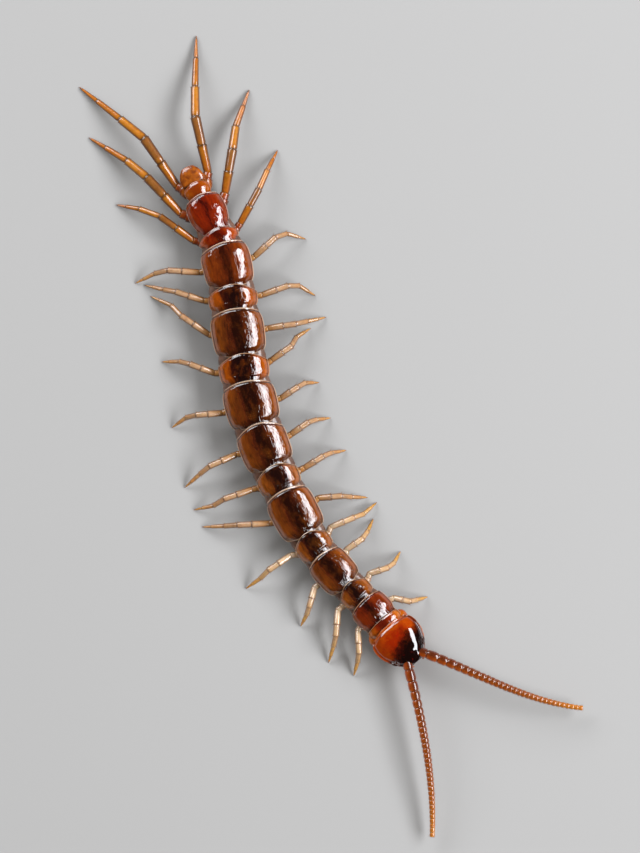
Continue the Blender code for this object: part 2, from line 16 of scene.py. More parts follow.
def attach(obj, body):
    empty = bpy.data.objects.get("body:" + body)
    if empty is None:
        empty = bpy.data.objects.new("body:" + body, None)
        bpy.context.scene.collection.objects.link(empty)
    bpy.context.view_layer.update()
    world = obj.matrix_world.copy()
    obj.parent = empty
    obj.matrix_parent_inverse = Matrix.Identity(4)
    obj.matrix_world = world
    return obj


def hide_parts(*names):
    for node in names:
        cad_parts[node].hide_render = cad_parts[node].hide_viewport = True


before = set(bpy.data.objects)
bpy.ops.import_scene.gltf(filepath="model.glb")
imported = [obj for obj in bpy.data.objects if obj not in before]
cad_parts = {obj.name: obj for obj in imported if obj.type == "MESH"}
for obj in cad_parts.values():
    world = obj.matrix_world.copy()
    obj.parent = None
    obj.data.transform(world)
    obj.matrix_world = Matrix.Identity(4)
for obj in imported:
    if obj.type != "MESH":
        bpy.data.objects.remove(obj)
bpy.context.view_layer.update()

MM = 0.001
UP = Vector((0.0, 0.0, 1.0))
DRAW = random.Random(15)
noise.seed_set(15)             # without a seed, noise vectors differ from run to run
SEAM = 0.20                    # gap between neighbouring solids, which skin and plates close here
AXIS_HEIGHT = 1.27
LEAN = 0.18                    # how far back each joint runs for each millimetre of height
HEAD_FRONT = (0.31, -13.35)
HEAD_HEADING = -17.0

# Outlines of the back plates: place along the plate from its front, share of the full width
LONG_PLATE = ((-0.14, 0.64), (-0.06, 0.75), (0.0, 0.84), (0.06, 0.91), (0.15, 0.96), (0.35, 0.99),
              (0.58, 1.0), (0.74, 0.985), (0.86, 0.935), (0.94, 0.865), (1.01, 0.77), (1.08, 0.64))
SHORT_PLATE = ((-0.12, 0.76), (0.0, 0.88), (0.18, 0.97), (0.45, 1.0), (0.75, 0.985), (0.92, 0.92),
               (1.0, 0.86), (1.15, 0.74))
NECK_PLATE = ((0.0, 0.90), (0.30, 1.0), (0.70, 0.98), (0.92, 0.92), (1.0, 0.85), (1.1, 0.74))
TAIL_PLATE = ((-0.06, 0.58), (0.0, 0.74), (0.15, 0.90), (0.50, 1.0), (0.80, 0.94), (0.95, 0.80),
              (1.05, 0.62))
LAST_PLATE = ((-0.2, 1.02), (0.1, 1.10), (0.5, 1.13), (0.85, 1.08), (1.1, 0.98))
BAND_PLATE = ((0.0, 0.94), (0.5, 1.0), (1.0, 0.96))
HEAD_PLATE = ((0.0, 0.20), (0.04, 0.36), (0.11, 0.52), (0.22, 0.69), (0.40, 0.86), (0.58, 0.97),
              (0.73, 1.0), (0.86, 0.97), (0.94, 0.90), (1.0, 0.78), (1.05, 0.68))
END_CAP = ((0.0, 1.16), (0.25, 1.18), (0.60, 1.02), (0.88, 0.68), (1.0, 0.02))
HEAD_TOP = ((0.0, 1.42), (0.11, 1.60), (0.3, 1.80), (0.6, 1.93), (0.9, 1.90), (1.0, 1.82))
HEAD_UNDER = ((0.0, 1.16), (0.15, 1.04), (0.4, 0.98), (1.0, 0.98))


class Length(NamedTuple):
    """One length of the body: its plate's outline and its sizes."""
    name: str
    outline: tuple
    length: float
    plate: float
    flanks: float
    top: float
    belly: float
    turn: float


BODY = (
    Length("head", HEAD_PLATE, 2.34, 2.84, 2.20, 1.92, 0.98, -1),
    Length("forcipular_segment", BAND_PLATE, 0.62, 2.14, 1.66, 1.74, 0.46, 0),
    Length("trunk_01", NECK_PLATE, 1.43, 2.22, 1.72, 1.88, 0.50, -2),
    Length("trunk_02", SHORT_PLATE, 1.24, 1.90, 1.64, 1.84, 0.50, -1),
    Length("trunk_03", LONG_PLATE, 2.10, 2.28, 1.80, 1.96, 0.48, 6),
    Length("trunk_04", SHORT_PLATE, 1.40, 2.06, 1.80, 1.94, 0.47, 9),
    Length("trunk_05", LONG_PLATE, 2.59, 2.63, 2.06, 2.08, 0.45, 4),
    Length("trunk_06", SHORT_PLATE, 1.46, 2.39, 2.10, 2.06, 0.45, 2),
    Length("trunk_07", LONG_PLATE, 2.37, 2.77, 2.26, 2.17, 0.45, 6),
    Length("trunk_08", LONG_PLATE, 2.37, 2.93, 2.36, 2.20, 0.45, 7),
    Length("trunk_09", SHORT_PLATE, 1.51, 2.76, 2.34, 2.14, 0.45, 2),
    Length("trunk_10", LONG_PLATE, 2.45, 2.91, 2.34, 2.18, 0.45, 0),
    Length("trunk_11", SHORT_PLATE, 1.32, 2.70, 2.26, 2.10, 0.45, 1),
    Length("trunk_12", LONG_PLATE, 2.32, 2.72, 2.16, 2.10, 0.45, -12),
    Length("trunk_13", SHORT_PLATE, 0.86, 2.28, 1.94, 1.92, 0.48, -4),
    Length("trunk_14", TAIL_PLATE, 2.05, 2.16, 1.72, 1.86, 0.52, -1),
    Length("trunk_15", LAST_PLATE, 0.75, 1.30, 1.00, 1.58, 0.56, 0),
    Length("telson", END_CAP, 0.92, 1.08, 0.84, 1.46, 0.92, 0),
)
EDGE_SHARE, HEAD_EDGE_SHARE = 0.56, 0.42      # height of a plate's edge, as a share of the body's
HEAD_SHOULDER, HEAD_SOFTNESS = 0.58, 0.17     # where the head shield turns down, and how softly
PLATE_THICKNESS = 0.10                        # of the solids; the finer plates here are thinner
PLATE_WALL, SHIELD_WALL, BELLY_WALL = 0.045, 0.05, 0.04
PLATE_OVERLAP = 0.06
PLATE_CROWN = 0.030
MERGE = 0.0002                                # points this close are joined
FLOOR_GAP = 0.004                             # tubes stay this far over the floor
# Swellings and hollows of a plate by its distance from its side, hind or front edge: rise, place, width
RIM_SIDES = ((0.030, 0.030, 0.035), (-0.026, 0.120, 0.045))
RIM_HIND = ((0.026, 0.025, 0.035), (-0.022, 0.115, 0.050))
FRONT_FOLD = ((0.042, 0.13, 0.060), (-0.020, 0.02, 0.060))
SHIELD_SIDES = ((0.030, 0.030, 0.035), (-0.024, 0.120, 0.050))
SHIELD_HIND = ((0.024, 0.025, 0.035), (-0.020, 0.115, 0.050))
# Unevenness of a surface: rise and fineness of each layer
PLATE_WAVES = ((0.020, 1.0), (0.009, 3.1), (0.004, 8.0))
SHIELD_WAVES = ((0.014, 1.0), (0.006, 3.3))
BELLY_INSET, BELLY_RISE = 0.72, 0.16


class LegPose(NamedTuple):
    """How one leg lies, seen from above: degrees from straight out, towards the tail."""
    coxa: float
    thigh: float
    shin: float
    foot: float
    reach: float


LEFT_LEGS = (
    LegPose(-22, -54, -31, -29, 1.87),
    LegPose(23, -26, -8, 16, 2.15),
    LegPose(42, -7, 12, 23, 2.28),
    LegPose(30, -12, -15, 6, 2.86),
    LegPose(17, -23, -34, -30, 2.68),
    LegPose(3, 7, -2, -16, 2.50),
    LegPose(15, 14, -3, -14, 2.38),
    LegPose(0, 19, 15, -13, 2.31),
    LegPose(28, 25, 52, 22, 2.79),
    LegPose(7, 0, 4, 4, 3.21),
    LegPose(3, 11, -7, -40, 3.10),
    LegPose(16, 29, 6, -29, 3.27),
    LegPose(30, 40, 45, 42, 4.47),
    LegPose(48, 56, 58, 46, 5.76),
    LegPose(51, 78, 66, 64, 7.49),
)
RIGHT_LEGS = (
    LegPose(-21, -50, -39, -32, 2.49),
    LegPose(3, -41, -34, -29, 2.93),
    LegPose(5, -32, -31, -21, 2.27),
    LegPose(28, 1, -11, -1, 3.07),
    LegPose(18, 25, 23, 25, 3.68),
    LegPose(14, 6, -7, 12, 3.41),
    LegPose(19, -3, -18, -21, 3.40),
    LegPose(1, 10, 1, -21, 2.95),
    LegPose(12, 30, 24, 9, 2.97),
    LegPose(20, 43, 55, 33, 3.84),
    LegPose(15, 26, 19, 22, 3.36),
    LegPose(3, 17, 1, -13, 3.65),
    LegPose(38, 57, 42, 32, 4.70),
    LegPose(44, 71, 64, 56, 6.51),
    LegPose(53, 80, 64, 63, 7.64),
)
COXA_LENGTH = (0.65,) * 13 + (0.87, 0.80)
COXA_END_HEIGHT = (0.86,) * 13 + (0.80, 0.62)
LEG_STOUTNESS = (0.88,) * 4 + (0.90,) * 8 + (1.02, 0.98, 1.0)
LEG_LIFT = (0.0,) * 12 + (0.05, 0.12, 0.16)
LAST_PALE, LAST_AMBER = 4, 12      # pairs of legs, counted from the front
THICKEST_PAIRS = (14, 15)
COXA_SHARE = 0.40
KNEE_HEIGHT = 0.5


class LegPiece(NamedTuple):
    """One piece of a leg: its sweep, its end height and its radii at both ends."""
    sweep: str
    height: float
    start: float
    end: float
    stout_start: float     # the same radii on the thickest pairs
    stout_end: float


HIP_PIECES = (
    LegPiece("coxa", 0.0, 0.25, 0.235, 0.36, 0.35),
    LegPiece("coxa", 0.0, 0.205, 0.20, 0.28, 0.26),
)
LEG_PIECES = (
    LegPiece("thigh", 1.10, 0.195, 0.212, 0.230, 0.268),
    LegPiece("thigh", 1.02, 0.190, 0.192, 0.255, 0.270),
    LegPiece("shin", 0.56, 0.172, 0.158, 0.258, 0.225),
    LegPiece("foot", 0.27, 0.138, 0.108, 0.200, 0.150),
    LegPiece("foot", 0.08, 0.094, 0.044, 0.134, 0.060),
)
# Share of a leg's reach that each piece takes, with the claw last
PIECE_SHARES = (
    ((0.27, 0.20, 0.20, 0.19, 0.11, 0.03),) * 12
    + ((0.25, 0.22, 0.255, 0.155, 0.10, 0.02),)
    + ((0.205, 0.205, 0.22, 0.21, 0.14, 0.02),) * 2)


class Antenna(NamedTuple):
    """Directions at base, middle and tip, in degrees from -Y towards +X, and the length."""
    base: float
    middle: float
    tip: float
    length: float


ANTENNAE = {"left": Antenna(46, 44, 60, 8.76), "right": Antenna(-9, -15, -26, 8.98)}
ARTICLES = 30
ARTICLE_EVEN, ARTICLE_EXTRA, ARTICLE_FADE = 0.72, 0.156, 0.12   # the first few are up to twice as long
ANTENNA_RADIUS = ((0.0, 0.27), (0.5, 0.205), (1.0, 0.13))
ANTENNA_HEIGHT = ((0.0, 1.34), (0.5, 1.20), (1.0, 0.62))
SOCKET_AT, SOCKET_LENGTH, SOCKET_RADIUS = (0.46, 0.32, 1.34), 0.40, 0.27

EYE_PLACE, EYE_HEIGHT, EYE_INSET, EYE_AHEAD, EYE_LOOK_UP = 0.28, 1.52, 0.90, 0.13, 0.75
EYE_RADII = (0.24, 0.17, 0.11)

SIDES = {"left": (1, "l", LEFT_LEGS), "right": (-1, "r", RIGHT_LEGS)}


def along_arc(x, y, heading, part, travel):
    """End of a stretch of one length's arc."""
    bend = math.radians(part.turn) * travel / part.length
    chord = travel * (math.sin(bend / 2) / (bend / 2) if bend else 1.0)
    middle = heading + bend / 2
    return x + chord * math.sin(middle), y + chord * math.cos(middle), heading + bend


def line_knots():
    """Start of each length on the body line: distance, x, y and heading."""
    knots = []
    distance, (x, y), heading = 0.0, HEAD_FRONT, math.radians(HEAD_HEADING)
    for part in BODY:
        knots.append((distance, x, y, heading))
        x, y, heading = along_arc(x, y, heading, part, part.length)
        distance += part.length
    return knots


KNOTS = line_knots()
STARTS = {part.name: knot[0] for part, knot in zip(BODY, KNOTS)}
HEAD, TRUNK, TAIL_END = BODY[0], BODY[2:-1], BODY[-1]


def ends(part, front, hind):
    """Where one length starts and ends along the body line, each moved towards the tail."""
    return STARTS[part.name] + front, STARTS[part.name] + part.length + hind


def place(distance):
    """Point on the body line with its leftward and tailward directions."""
    index = max((i for i, knot in enumerate(KNOTS) if knot[0] <= distance), default=0)
    start, x, y, heading = KNOTS[index]
    x, y, heading = along_arc(x, y, heading, BODY[index], distance - start)
    left = Vector((math.cos(heading), -math.sin(heading), 0.0))
    tailward = Vector((math.sin(heading), math.cos(heading), 0.0))
    return Vector((x, y, 0.0)), left, tailward


def body_point(distance, lateral, height):
    """A point given by its distance along the line, its place to the left and its height."""
    point, left, _ = place(distance + LEAN * (height - AXIS_HEIGHT))
    return point + left * lateral + UP * height


def eased(table, value):
    """Smooth reading of a table of (place, size) pairs that never overshoots them."""
    places, sizes = zip(*table)
    value = min(max(value, places[0]), places[-1])
    i = max(k for k in range(len(places) - 1) if places[k] <= value)

    def slope(k):
        rises = [(sizes[j + 1] - sizes[j]) / (places[j + 1] - places[j])
                 for j in (k - 1, k) if 0 <= j < len(places) - 1]
        if len(rises) == 1:
            return rises[0]
        a, b = rises
        return 2 * a * b / (a + b) if a * b > 0 else 0.0

    span = places[i + 1] - places[i]
    t = (value - places[i]) / span
    return (sizes[i] * (1 + 2 * t) * (1 - t) ** 2 + sizes[i + 1] * t * t * (3 - 2 * t)
            + slope(i) * span * t * (1 - t) ** 2 + slope(i + 1) * span * t * t * (t - 1))


def middles(field):
    """A size at the middle of each length, as a table along the line."""
    return tuple((STARTS[part.name] + part.length / 2, getattr(part, field)) for part in BODY[1:])


FLANKS, BELLY, TOP = middles("flanks"), middles("belly"), middles("top")


def bump(value, centre, width):
    """A smooth swelling of height 1."""
    return math.exp(-((value - centre) / width) ** 2)


def swellings(value, rows):
    """Rise of a surface at a place, from rows of rise, place and width."""
    return sum(rise * bump(value, centre, width) for rise, centre, width in rows)


def waves(spot, rows):
    """Unevenness of a surface at a spot, from rows of rise and fineness."""
    return sum(rise * noise.noise(spot * fineness) for rise, fineness in rows)


def ramp(value, low, high):
    """0 below low, 1 above high and smooth between."""
    share = min(max((value - low) / (high - low), 0.0), 1.0)
    return share * share * (3 - 2 * share)


def excess(value, softness):
    """What a value has over zero, with a soft start."""
    return (value + math.hypot(value, softness)) / 2


def squared(share, power):
    """Sideways and upward reach of a rounded square at a share of its turn; a low power is squarer."""
    turn = 2 * math.pi * share
    return (math.copysign(abs(reach) ** power, reach) for reach in (math.sin(turn), math.cos(turn)))


def rounded_ends(along, power):
    """Draws a closed form in at both ends; a high power keeps it full for longer."""
    return math.sqrt(max(1.0 - abs(2 * along - 1) ** power, 0.0))


def arch(across):
    """Rise of a plate at a share of its half width: a gentle vault with steeper cheeks."""
    side = min(abs(across), 1.0)
    return 0.72 * (1.0 - side ** 2.2) + 0.28 * (1.0 - side ** 9)


def head_arch(across):
    """Rise of the head shield: almost flat on top, with sides that slope down from a soft shoulder."""
    side = abs(across)
    middle, here, edge = (excess(spot - HEAD_SHOULDER, HEAD_SOFTNESS) for spot in (0.0, side, 1.0))
    return 1.0 - 0.12 * side ** 2 - 0.88 * (here - middle) / (edge - middle)


def edge_rich(share):
    """Moves evenly spaced shares closer together at both ends."""
    return 0.5 - 0.5 * math.cos(math.pi * share)


def end_rich(share):
    """Moves evenly spaced shares closer together at the far end."""
    return 1.0 - (1.0 - share) ** 1.5


def same(share):
    """Leaves evenly spaced shares as they are."""
    return share


def mapped():
    """An empty mesh with the surface map that the finishes read."""
    shape = bmesh.new()
    return shape, shape.loops.layers.uv.new("Surface")


def grid(columns, rows, place_of, across_of=same, along_of=same):
    """A grid moved to where place_of(across, along) says, with both kept as its surface map."""
    shape, surface = mapped()
    bmesh.ops.create_grid(shape, x_segments=columns, y_segments=rows, size=0.5, calc_uvs=True)
    for vert in shape.verts:
        across, along = (min(max(offset + 0.5, 0.0), 1.0) for offset in vert.co.xy)
        vert.co = (across_of(across), along_of(along), 0.0)
    for face in shape.faces:
        for loop in face.loops:
            loop[surface].uv = loop.vert.co.xy
    for vert in shape.verts:
        vert.co = place_of(vert.co.x, vert.co.y) * MM
    return shape


def facing(shape, upward):
    """Turns the faces of an open sheet so that most look up, or down."""
    bmesh.ops.recalc_face_normals(shape, faces=shape.faces)
    if (sum(face.normal.z for face in shape.faces) > 0) != upward:
        bmesh.ops.reverse_faces(shape, faces=shape.faces)
    return shape


def closed(shape):
    """Joins the seam of a grid that is wrapped into a tube, and turns its faces out."""
    bmesh.ops.remove_doubles(shape, verts=shape.verts, dist=MERGE * MM)
    open_edges = [edge for edge in shape.edges if edge.is_boundary]
    if open_edges:
        bmesh.ops.holes_fill(shape, edges=open_edges)
    bmesh.ops.recalc_face_normals(shape, faces=shape.faces)
    return shape


def radial(direction, turn):
    """Direction out of a tube at an angle round it, from its top."""
    sideways = direction.cross(UP).normalized()
    return sideways * math.sin(turn) + sideways.cross(direction).normalized() * math.cos(turn)


def tube(stations, columns, marks=None):
    """A closed tube through (centre, direction, radius) stations; marks say where each lies along it."""
    last = len(stations) - 1

    def place_of(across, along):
        centre, direction, radius = stations[round(along * last)]
        point = centre + radius * radial(direction, 2 * math.pi * across)
        point.z = max(point.z, FLOOR_GAP)
        return point

    shape = grid(columns, last, place_of)
    if marks:
        surface = shape.loops.layers.uv["Surface"]
        for face in shape.faces:
            for loop in face.loops:
                loop[surface].uv.y = marks[round(loop[surface].uv.y * last)]
    return closed(shape)


def mesh_of(name, shape):
    """The finished mesh of a shape."""
    mesh = bpy.data.meshes.new(name)
    shape.to_mesh(mesh)
    shape.free()
    return mesh


def placed(name, data):
    """A new object in the scene."""
    made = bpy.data.objects.new(name, data)
    bpy.context.scene.collection.objects.link(made)
    return made


def joined(shapes):
    """Several meshes as one."""
    whole, _ = mapped()
    for shape in shapes:
        mesh = mesh_of("part", shape)
        whole.from_mesh(mesh)
        bpy.data.meshes.remove(mesh)
    return whole


def dress(name, shape, finishes, nodes=(), thickness=0.0):
    """Makes a finished piece of a mesh: it rides, takes its slot and stands for its solids."""
    mesh = mesh_of(name, shape)
    for finish in finishes:
        mesh.materials.append(FINISHES[finish])
    mesh.shade_smooth()
    piece = placed(name, mesh)
    if thickness:
        wall = piece.modifiers.new("Wall", "SOLIDIFY")
        wall.thickness = thickness * MM
        wall.offset = -1.0
        wall.use_even_offset = False
    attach(piece, "root")
    if nodes:
        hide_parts(*nodes)


def use_finish(shape, index):
    """Gives every face of a mesh one of its piece's finishes."""
    for face in shape.faces:
        face.material_index = index
    return shape


def linear(hex_value):
    """A colour written as sRGB hex, in the scene's linear values."""
    channels = [int(hex_value[i:i + 2], 16) / 255 for i in (1, 3, 5)]
    return tuple(c / 12.92 if c <= 0.04045 else ((c + 0.055) / 1.055) ** 2.4 for c in channels) + (1.0,)


def new_finish(name, roughness, coat=0.0, glow=0.0, glow_reach=0.2):
    """A finish with its fixed values, its node tree and its shader.

    Chitin is a stack of thin clear layers under a film of wax. The wax gives nearly all the shine, so
    what lies under it mirrors little, and light that enters the layers comes out as a warm glow.
    """
    finish = bpy.data.materials.new(name)
    finish.use_nodes = True
    shader = finish.node_tree.nodes["Principled BSDF"]
    for socket, value in {
            "Roughness": roughness, "IOR": 1.56, "Specular IOR Level": 0.5 - 0.42 * coat,
            "Coat Weight": coat, "Coat Roughness": 0.04, "Coat IOR": 1.7,
            "Subsurface Weight": glow, "Subsurface Radius": (1.0, 0.35, 0.12),
            "Subsurface Scale": glow_reach * MM}.items():
        shader.inputs[socket].default_value = value
    return finish, finish.node_tree, shader


def node(tree, kind, sockets=None, out=0, stops=None, **settings):
    """Adds one node with its settings, its ramp's stops and its sockets' values or links."""
    made = tree.nodes.new("ShaderNode" + kind)
    for key, value in settings.items():
        setattr(made, key, value)
    if stops:
        elements = made.color_ramp.elements
        while len(elements) < len(stops):
            elements.new(0.5)
        for element, (at, level) in zip(elements, stops):
            element.position = at
            element.color = linear(level) if isinstance(level, str) else (level, level, level, 1.0)
    for key, value in (sockets or {}).items():
        if isinstance(value, bpy.types.NodeSocket):
            tree.links.new(value, made.inputs[key])
        else:
            made.inputs[key].default_value = linear(value) if isinstance(value, str) else value
    return made.outputs[out]


def painted(tree, ground, coats):
    """Lays coats of colour over a ground, each as thick as its stops make of a value on the surface."""
    for value, stops, colour in coats:
        cover = node(tree, "ValToRGB", {0: value}, stops=stops)
        ground = node(tree, "Mix", {0: cover, 6: ground, 7: colour}, out=2, data_type="RGBA")
    return ground


def complete(made, colour, height, depth, coated=False):
    """Links a finish's colour and its relief of some depth in millimetres, which its wax may follow."""
    finish, tree, shader = made
    tree.links.new(colour, shader.inputs["Base Color"])
    relief = node(tree, "Bump", {"Distance": depth * MM, "Height": height})
    for socket in ("Normal", "Coat Normal") if coated else ("Normal",):
        tree.links.new(relief, shader.inputs[socket])
    return finish


def surface_place(tree):
    """How far a point lies across or around its piece, and along it."""
    spot = node(tree, "UVMap", uv_map="Surface")
    return node(tree, "SeparateXYZ", {0: spot}), node(tree, "SeparateXYZ", {0: spot}, out=1)


def off_middle(tree, across):
    """How far a point lies from its piece's middle line: to the left, from -1 to 1, and to either side."""
    leftward = node(tree, "Math", {0: across, 1: 2.0, 2: -1.0}, operation="MULTIPLY_ADD")
    return leftward, node(tree, "Math", {0: leftward}, operation="ABSOLUTE")


def clumps(tree, millimetres, detail=3.0, rough=0.55):
    """Noise whose clumps have a real size, in the piece's own coordinates."""
    spot = node(tree, "TexCoord", out="Object")
    return node(tree, "TexNoise", {"Vector": spot, "Scale": 1.0 / (millimetres * MM), "Detail": detail,
                                   "Roughness": rough})


def streaks(tree, size, clump, detail=4.0, rough=0.6):
    """Noise drawn out along a plate of some width and length, in clumps of real width and length.

    It drifts with the place on the animal, so that no two plates are marked alike.
    """
    spot = node(tree, "UVMap", uv_map="Surface")
    scale = (size[0] / clump[0], size[1] / clump[1], 1.0)
    stretched = node(tree, "Mapping", {"Vector": spot, "Scale": scale})
    tailward = node(tree, "SeparateXYZ", {0: node(tree, "TexCoord", out="Object")}, out=1)
    drift = node(tree, "Math", {0: tailward, 1: 0.3 / MM}, operation="MULTIPLY")
    return node(tree, "TexNoise", {"Vector": stretched, "W": drift, "Scale": 1.0, "Detail": detail,
                                   "Roughness": rough}, noise_dimensions="4D")


VALLEY_RIM = 0.06           # how far from the middle level of its noise a crease reaches


def creases(tree, level):
    """Narrow valleys in a flat surface, where a noise crosses its middle level."""
    centred = node(tree, "Math", {0: level, 1: 0.5}, operation="SUBTRACT")
    valley = node(tree, "Math", {0: centred}, operation="ABSOLUTE")
    return node(tree, "Math", {0: valley, 1: VALLEY_RIM}, operation="MINIMUM")


class Tan(NamedTuple):
    """How the chitin of a back plate is tanned, how wide its dark middle is and how softly it fades,
    and how large and how creased the plate is."""
    name: str
    middle: str
    brown: str
    flank: str
    corner: str
    # rim: pale edge line, partly the rim's own colour and partly a painted highlight; groove: painted shade
    # in the groove inside it
    rim: str
    groove: str
    dark: float
    soft: float
    size: tuple
    crease: float


def plate_finish(tan):
    """Hard chitin of a back plate: dark along the back, clear amber at the sides and as glossy as
    lacquer, with fine lengthwise creases that break up its shine."""
    made = new_finish(tan.name, 0.12, coat=1.0, glow=0.08)
    tree, size = made[1], tan.size
    across, along = surface_place(tree)
    leftward, side = off_middle(tree, across)
    wander = node(tree, "Math", {0: streaks(tree, size, (0.45, 1.3)), 1: 0.9, 2: -0.45},
                  operation="MULTIPLY_ADD")
    drawn = node(tree, "Math", {0: leftward, 1: wander}, operation="ADD")
    from_middle = node(tree, "Math", {0: drawn}, operation="ABSOLUTE")
    body = node(tree, "ValToRGB", {0: from_middle}, stops=(
        (0.0, tan.middle), (tan.dark * 0.5, tan.middle), (tan.dark, tan.brown),
        (tan.dark + tan.soft, tan.flank)))
    body = painted(tree, body, (
        (side, ((0.60, 0.0), (0.92, 0.8)), tan.corner),
        (streaks(tree, size, (0.20, 0.60), 5.0), ((0.28, 0.65), (0.55, 0.0)), tan.middle),
        (streaks(tree, size, (0.24, 0.50), 5.0), ((0.50, 0.0), (0.80, 0.35)), tan.flank),
        (streaks(tree, size, (0.07, 0.40), 3.0), ((0.40, 0.25), (0.55, 0.0)), tan.middle),
        (clumps(tree, 0.7), ((0.52, 0.0), (0.75, 0.20)), tan.corner),
        # Painted shade: the plate's front darkened where it tucks under the plate before it
        (along, ((0.04, 0.7), (0.20, 0.0)), tan.middle)))
    # Inside the side and hind edges: a dark line of painted shade in the groove, then a pale rim line,
    # partly its own colour and partly a painted highlight; the same pale line runs along the front
    for value in (side, along):
        body = painted(tree, body, (
            (value, ((0.90, 0.0), (0.94, 0.8), (0.960, 0.4), (0.970, 0.0)), tan.groove),
            (value, ((0.966, 0.0), (0.980, 0.8)), tan.rim)))
    body = painted(tree, body, ((along, ((0.0, 0.7), (0.014, 0.5), (0.03, 0.0)), tan.rim),))
    folds = creases(tree, streaks(tree, size, (0.24, 0.75), 3.0, 0.55))
    return complete(made, body, folds, tan.crease, coated=True)


def plain_finish(name, colour, other, millimetres, gloss, coat=0.0, glow=0.0, depth=0.003):
    """A finish of two mottled tones with a fine relief."""
    made = new_finish(name, gloss, coat, glow)
    tree = made[1]
    tone = node(tree, "ValToRGB", {0: clumps(tree, millimetres, 4.0)}, stops=((0.3, colour), (0.7, other)))
    return complete(made, tone, clumps(tree, millimetres * 0.5, 2.0), depth)


def within_piece(tree, along, pieces):
    """How far a point lies along its own piece, out of some that follow each other."""
    counted = node(tree, "Math", {0: along, 1: float(pieces)}, operation="MULTIPLY")
    return node(tree, "Math", {0: counted}, operation="FRACT")


def leg_finish(name, tones, joint, edge, cover):
    """Thin chitin of a leg: clear over pale flesh and tanned at the joints, with painted shade browning its
    front and hind faces towards its outlines, where light is bent and mirrored at its edges.
    """
    made = new_finish(name, 0.32, coat=0.6, glow=0.22, glow_reach=0.25)
    tree = made[1]
    around, along = surface_place(tree)
    within = within_piece(tree, along, len(LEG_PIECES) + len(HIP_PIECES))
    body = painted(tree, node(tree, "ValToRGB", {0: along}, stops=tones), (
        (clumps(tree, 0.22, 4.0), ((0.48, 0.0), (0.75, 0.4)), edge),
        # Painted shade along the front and hind faces; the same colour also mottles the chitin in the line
        # above
        (around, ((0.08, 0.0), (0.15, cover), (0.33, cover), (0.45, 0.1), (0.55, 0.1), (0.67, cover),
                  (0.85, cover), (0.92, 0.0)), edge),
        (within, ((0.0, 0.85), (0.035, 0.3), (0.08, 0.0), (0.92, 0.0), (0.955, 0.4), (1.0, 0.9)), joint)))
    return complete(made, body, clumps(tree, 0.20, 2.0), 0.005)


def feeler_finish():
    """Chitin of a feeler: tanned dark at its base and clear orange towards its tip, with painted shade
    darkening its top and one flank, so that only its underside stays orange, as if lit from below and
    through.
    """
    made = new_finish("feeler_chitin", 0.30, coat=0.8, glow=0.2, glow_reach=0.15)
    tree = made[1]
    around, along = surface_place(tree)
    within = within_piece(tree, along, ARTICLES)
    # Painted shade: darkest over the top of the feeler and one flank, fading towards the tip; the chitin
    # itself is not darker there
    above = node(tree, "ValToRGB", {0: around}, stops=(
        (0.0, 0.8), (0.10, 0.2), (0.25, 0.0), (0.56, 0.0), (0.70, 0.5), (0.86, 0.85)))
    fading = node(tree, "ValToRGB", {0: along}, stops=((0.0, 1.0), (0.35, 0.7), (0.9, 0.1)))
    painted_top_shade = node(tree, "Math", {0: above, 1: fading}, operation="MULTIPLY")
    body = node(tree, "ValToRGB", {0: along}, stops=(
        (0.0, "#b04c06"), (0.15, "#b05408"), (0.45, "#a4520c"), (0.75, "#ac6014"), (1.0, "#c47c20")))
    body = painted(tree, body, (
        (within, ((0.10, 0.0), (0.35, 0.4), (0.62, 0.4), (0.85, 0.0)), "#742a08"),
        (painted_top_shade, ((0.0, 0.0), (1.0, 1.0)), "#300f04"),
        (within, ((0.0, 0.7), (0.10, 0.0), (0.88, 0.0), (0.97, 0.7)), "#4c2010")))
    return complete(made, body, clumps(tree, 0.14, 2.0), 0.003)


def head_finish():
    """Chitin of the head: clear red-orange, black before its middle and glossy as lacquer."""
    made = new_finish("head_chitin", 0.10, coat=1.0, glow=0.12, glow_reach=0.3)
    tree = made[1]
    across, along = surface_place(tree)
    _, side = off_middle(tree, across)
    cloud = node(tree, "Math", {0: clumps(tree, 0.5, 5.0, 0.65), 1: 0.55, 2: -0.275},
                 operation="MULTIPLY_ADD")
    back = node(tree, "Math", {0: along, 1: cloud}, operation="ADD")
    # How far back the black reaches at each place across the head
    lobe = node(tree, "ValToRGB", {0: across}, stops=(
        (0.0, 0.14), (0.20, 0.25), (0.40, 0.33), (0.54, 0.41), (0.66, 0.46), (0.78, 0.42), (0.90, 0.44),
        (1.0, 0.55)))
    behind = node(tree, "Math", {0: back, 1: lobe}, operation="SUBTRACT")
    body = node(tree, "ValToRGB", {0: back}, stops=(
        (0.10, "#4c0702"), (0.40, "#741501"), (0.72, "#801d01"), (0.95, "#984004")))
    body = painted(tree, body, (
        (side, ((0.30, 0.0), (0.85, 0.55)), "#a04005"),
        (clumps(tree, 0.12), ((0.50, 0.0), (0.70, 0.35)), "#6a1402"),
        (clumps(tree, 0.35), ((0.55, 0.0), (0.75, 0.35)), "#b45406"),
        (behind, ((0.0, 1.0), (0.12, 0.8), (0.28, 0.0)), "#0f0302"),
        (clumps(tree, 0.20), ((0.62, 0.0), (0.74, 0.6)), "#8c0c04"),
        (across, ((0.90, 0.0), (0.97, 0.75)), "#2c0803")))
    # Inside the shield's edges: a dark line of painted shade in the groove, then a pale rim line, partly
    # its own colour and partly a painted highlight
    for value in (side, along):
        body = painted(tree, body, (
            (value, ((0.885, 0.0), (0.925, 0.6), (0.95, 0.0)), "#4a1003"),
            (value, ((0.966, 0.0), (0.982, 0.35)), "#a85c30")))
    return complete(made, body, clumps(tree, 0.30, 2.0), 0.007, coated=True)


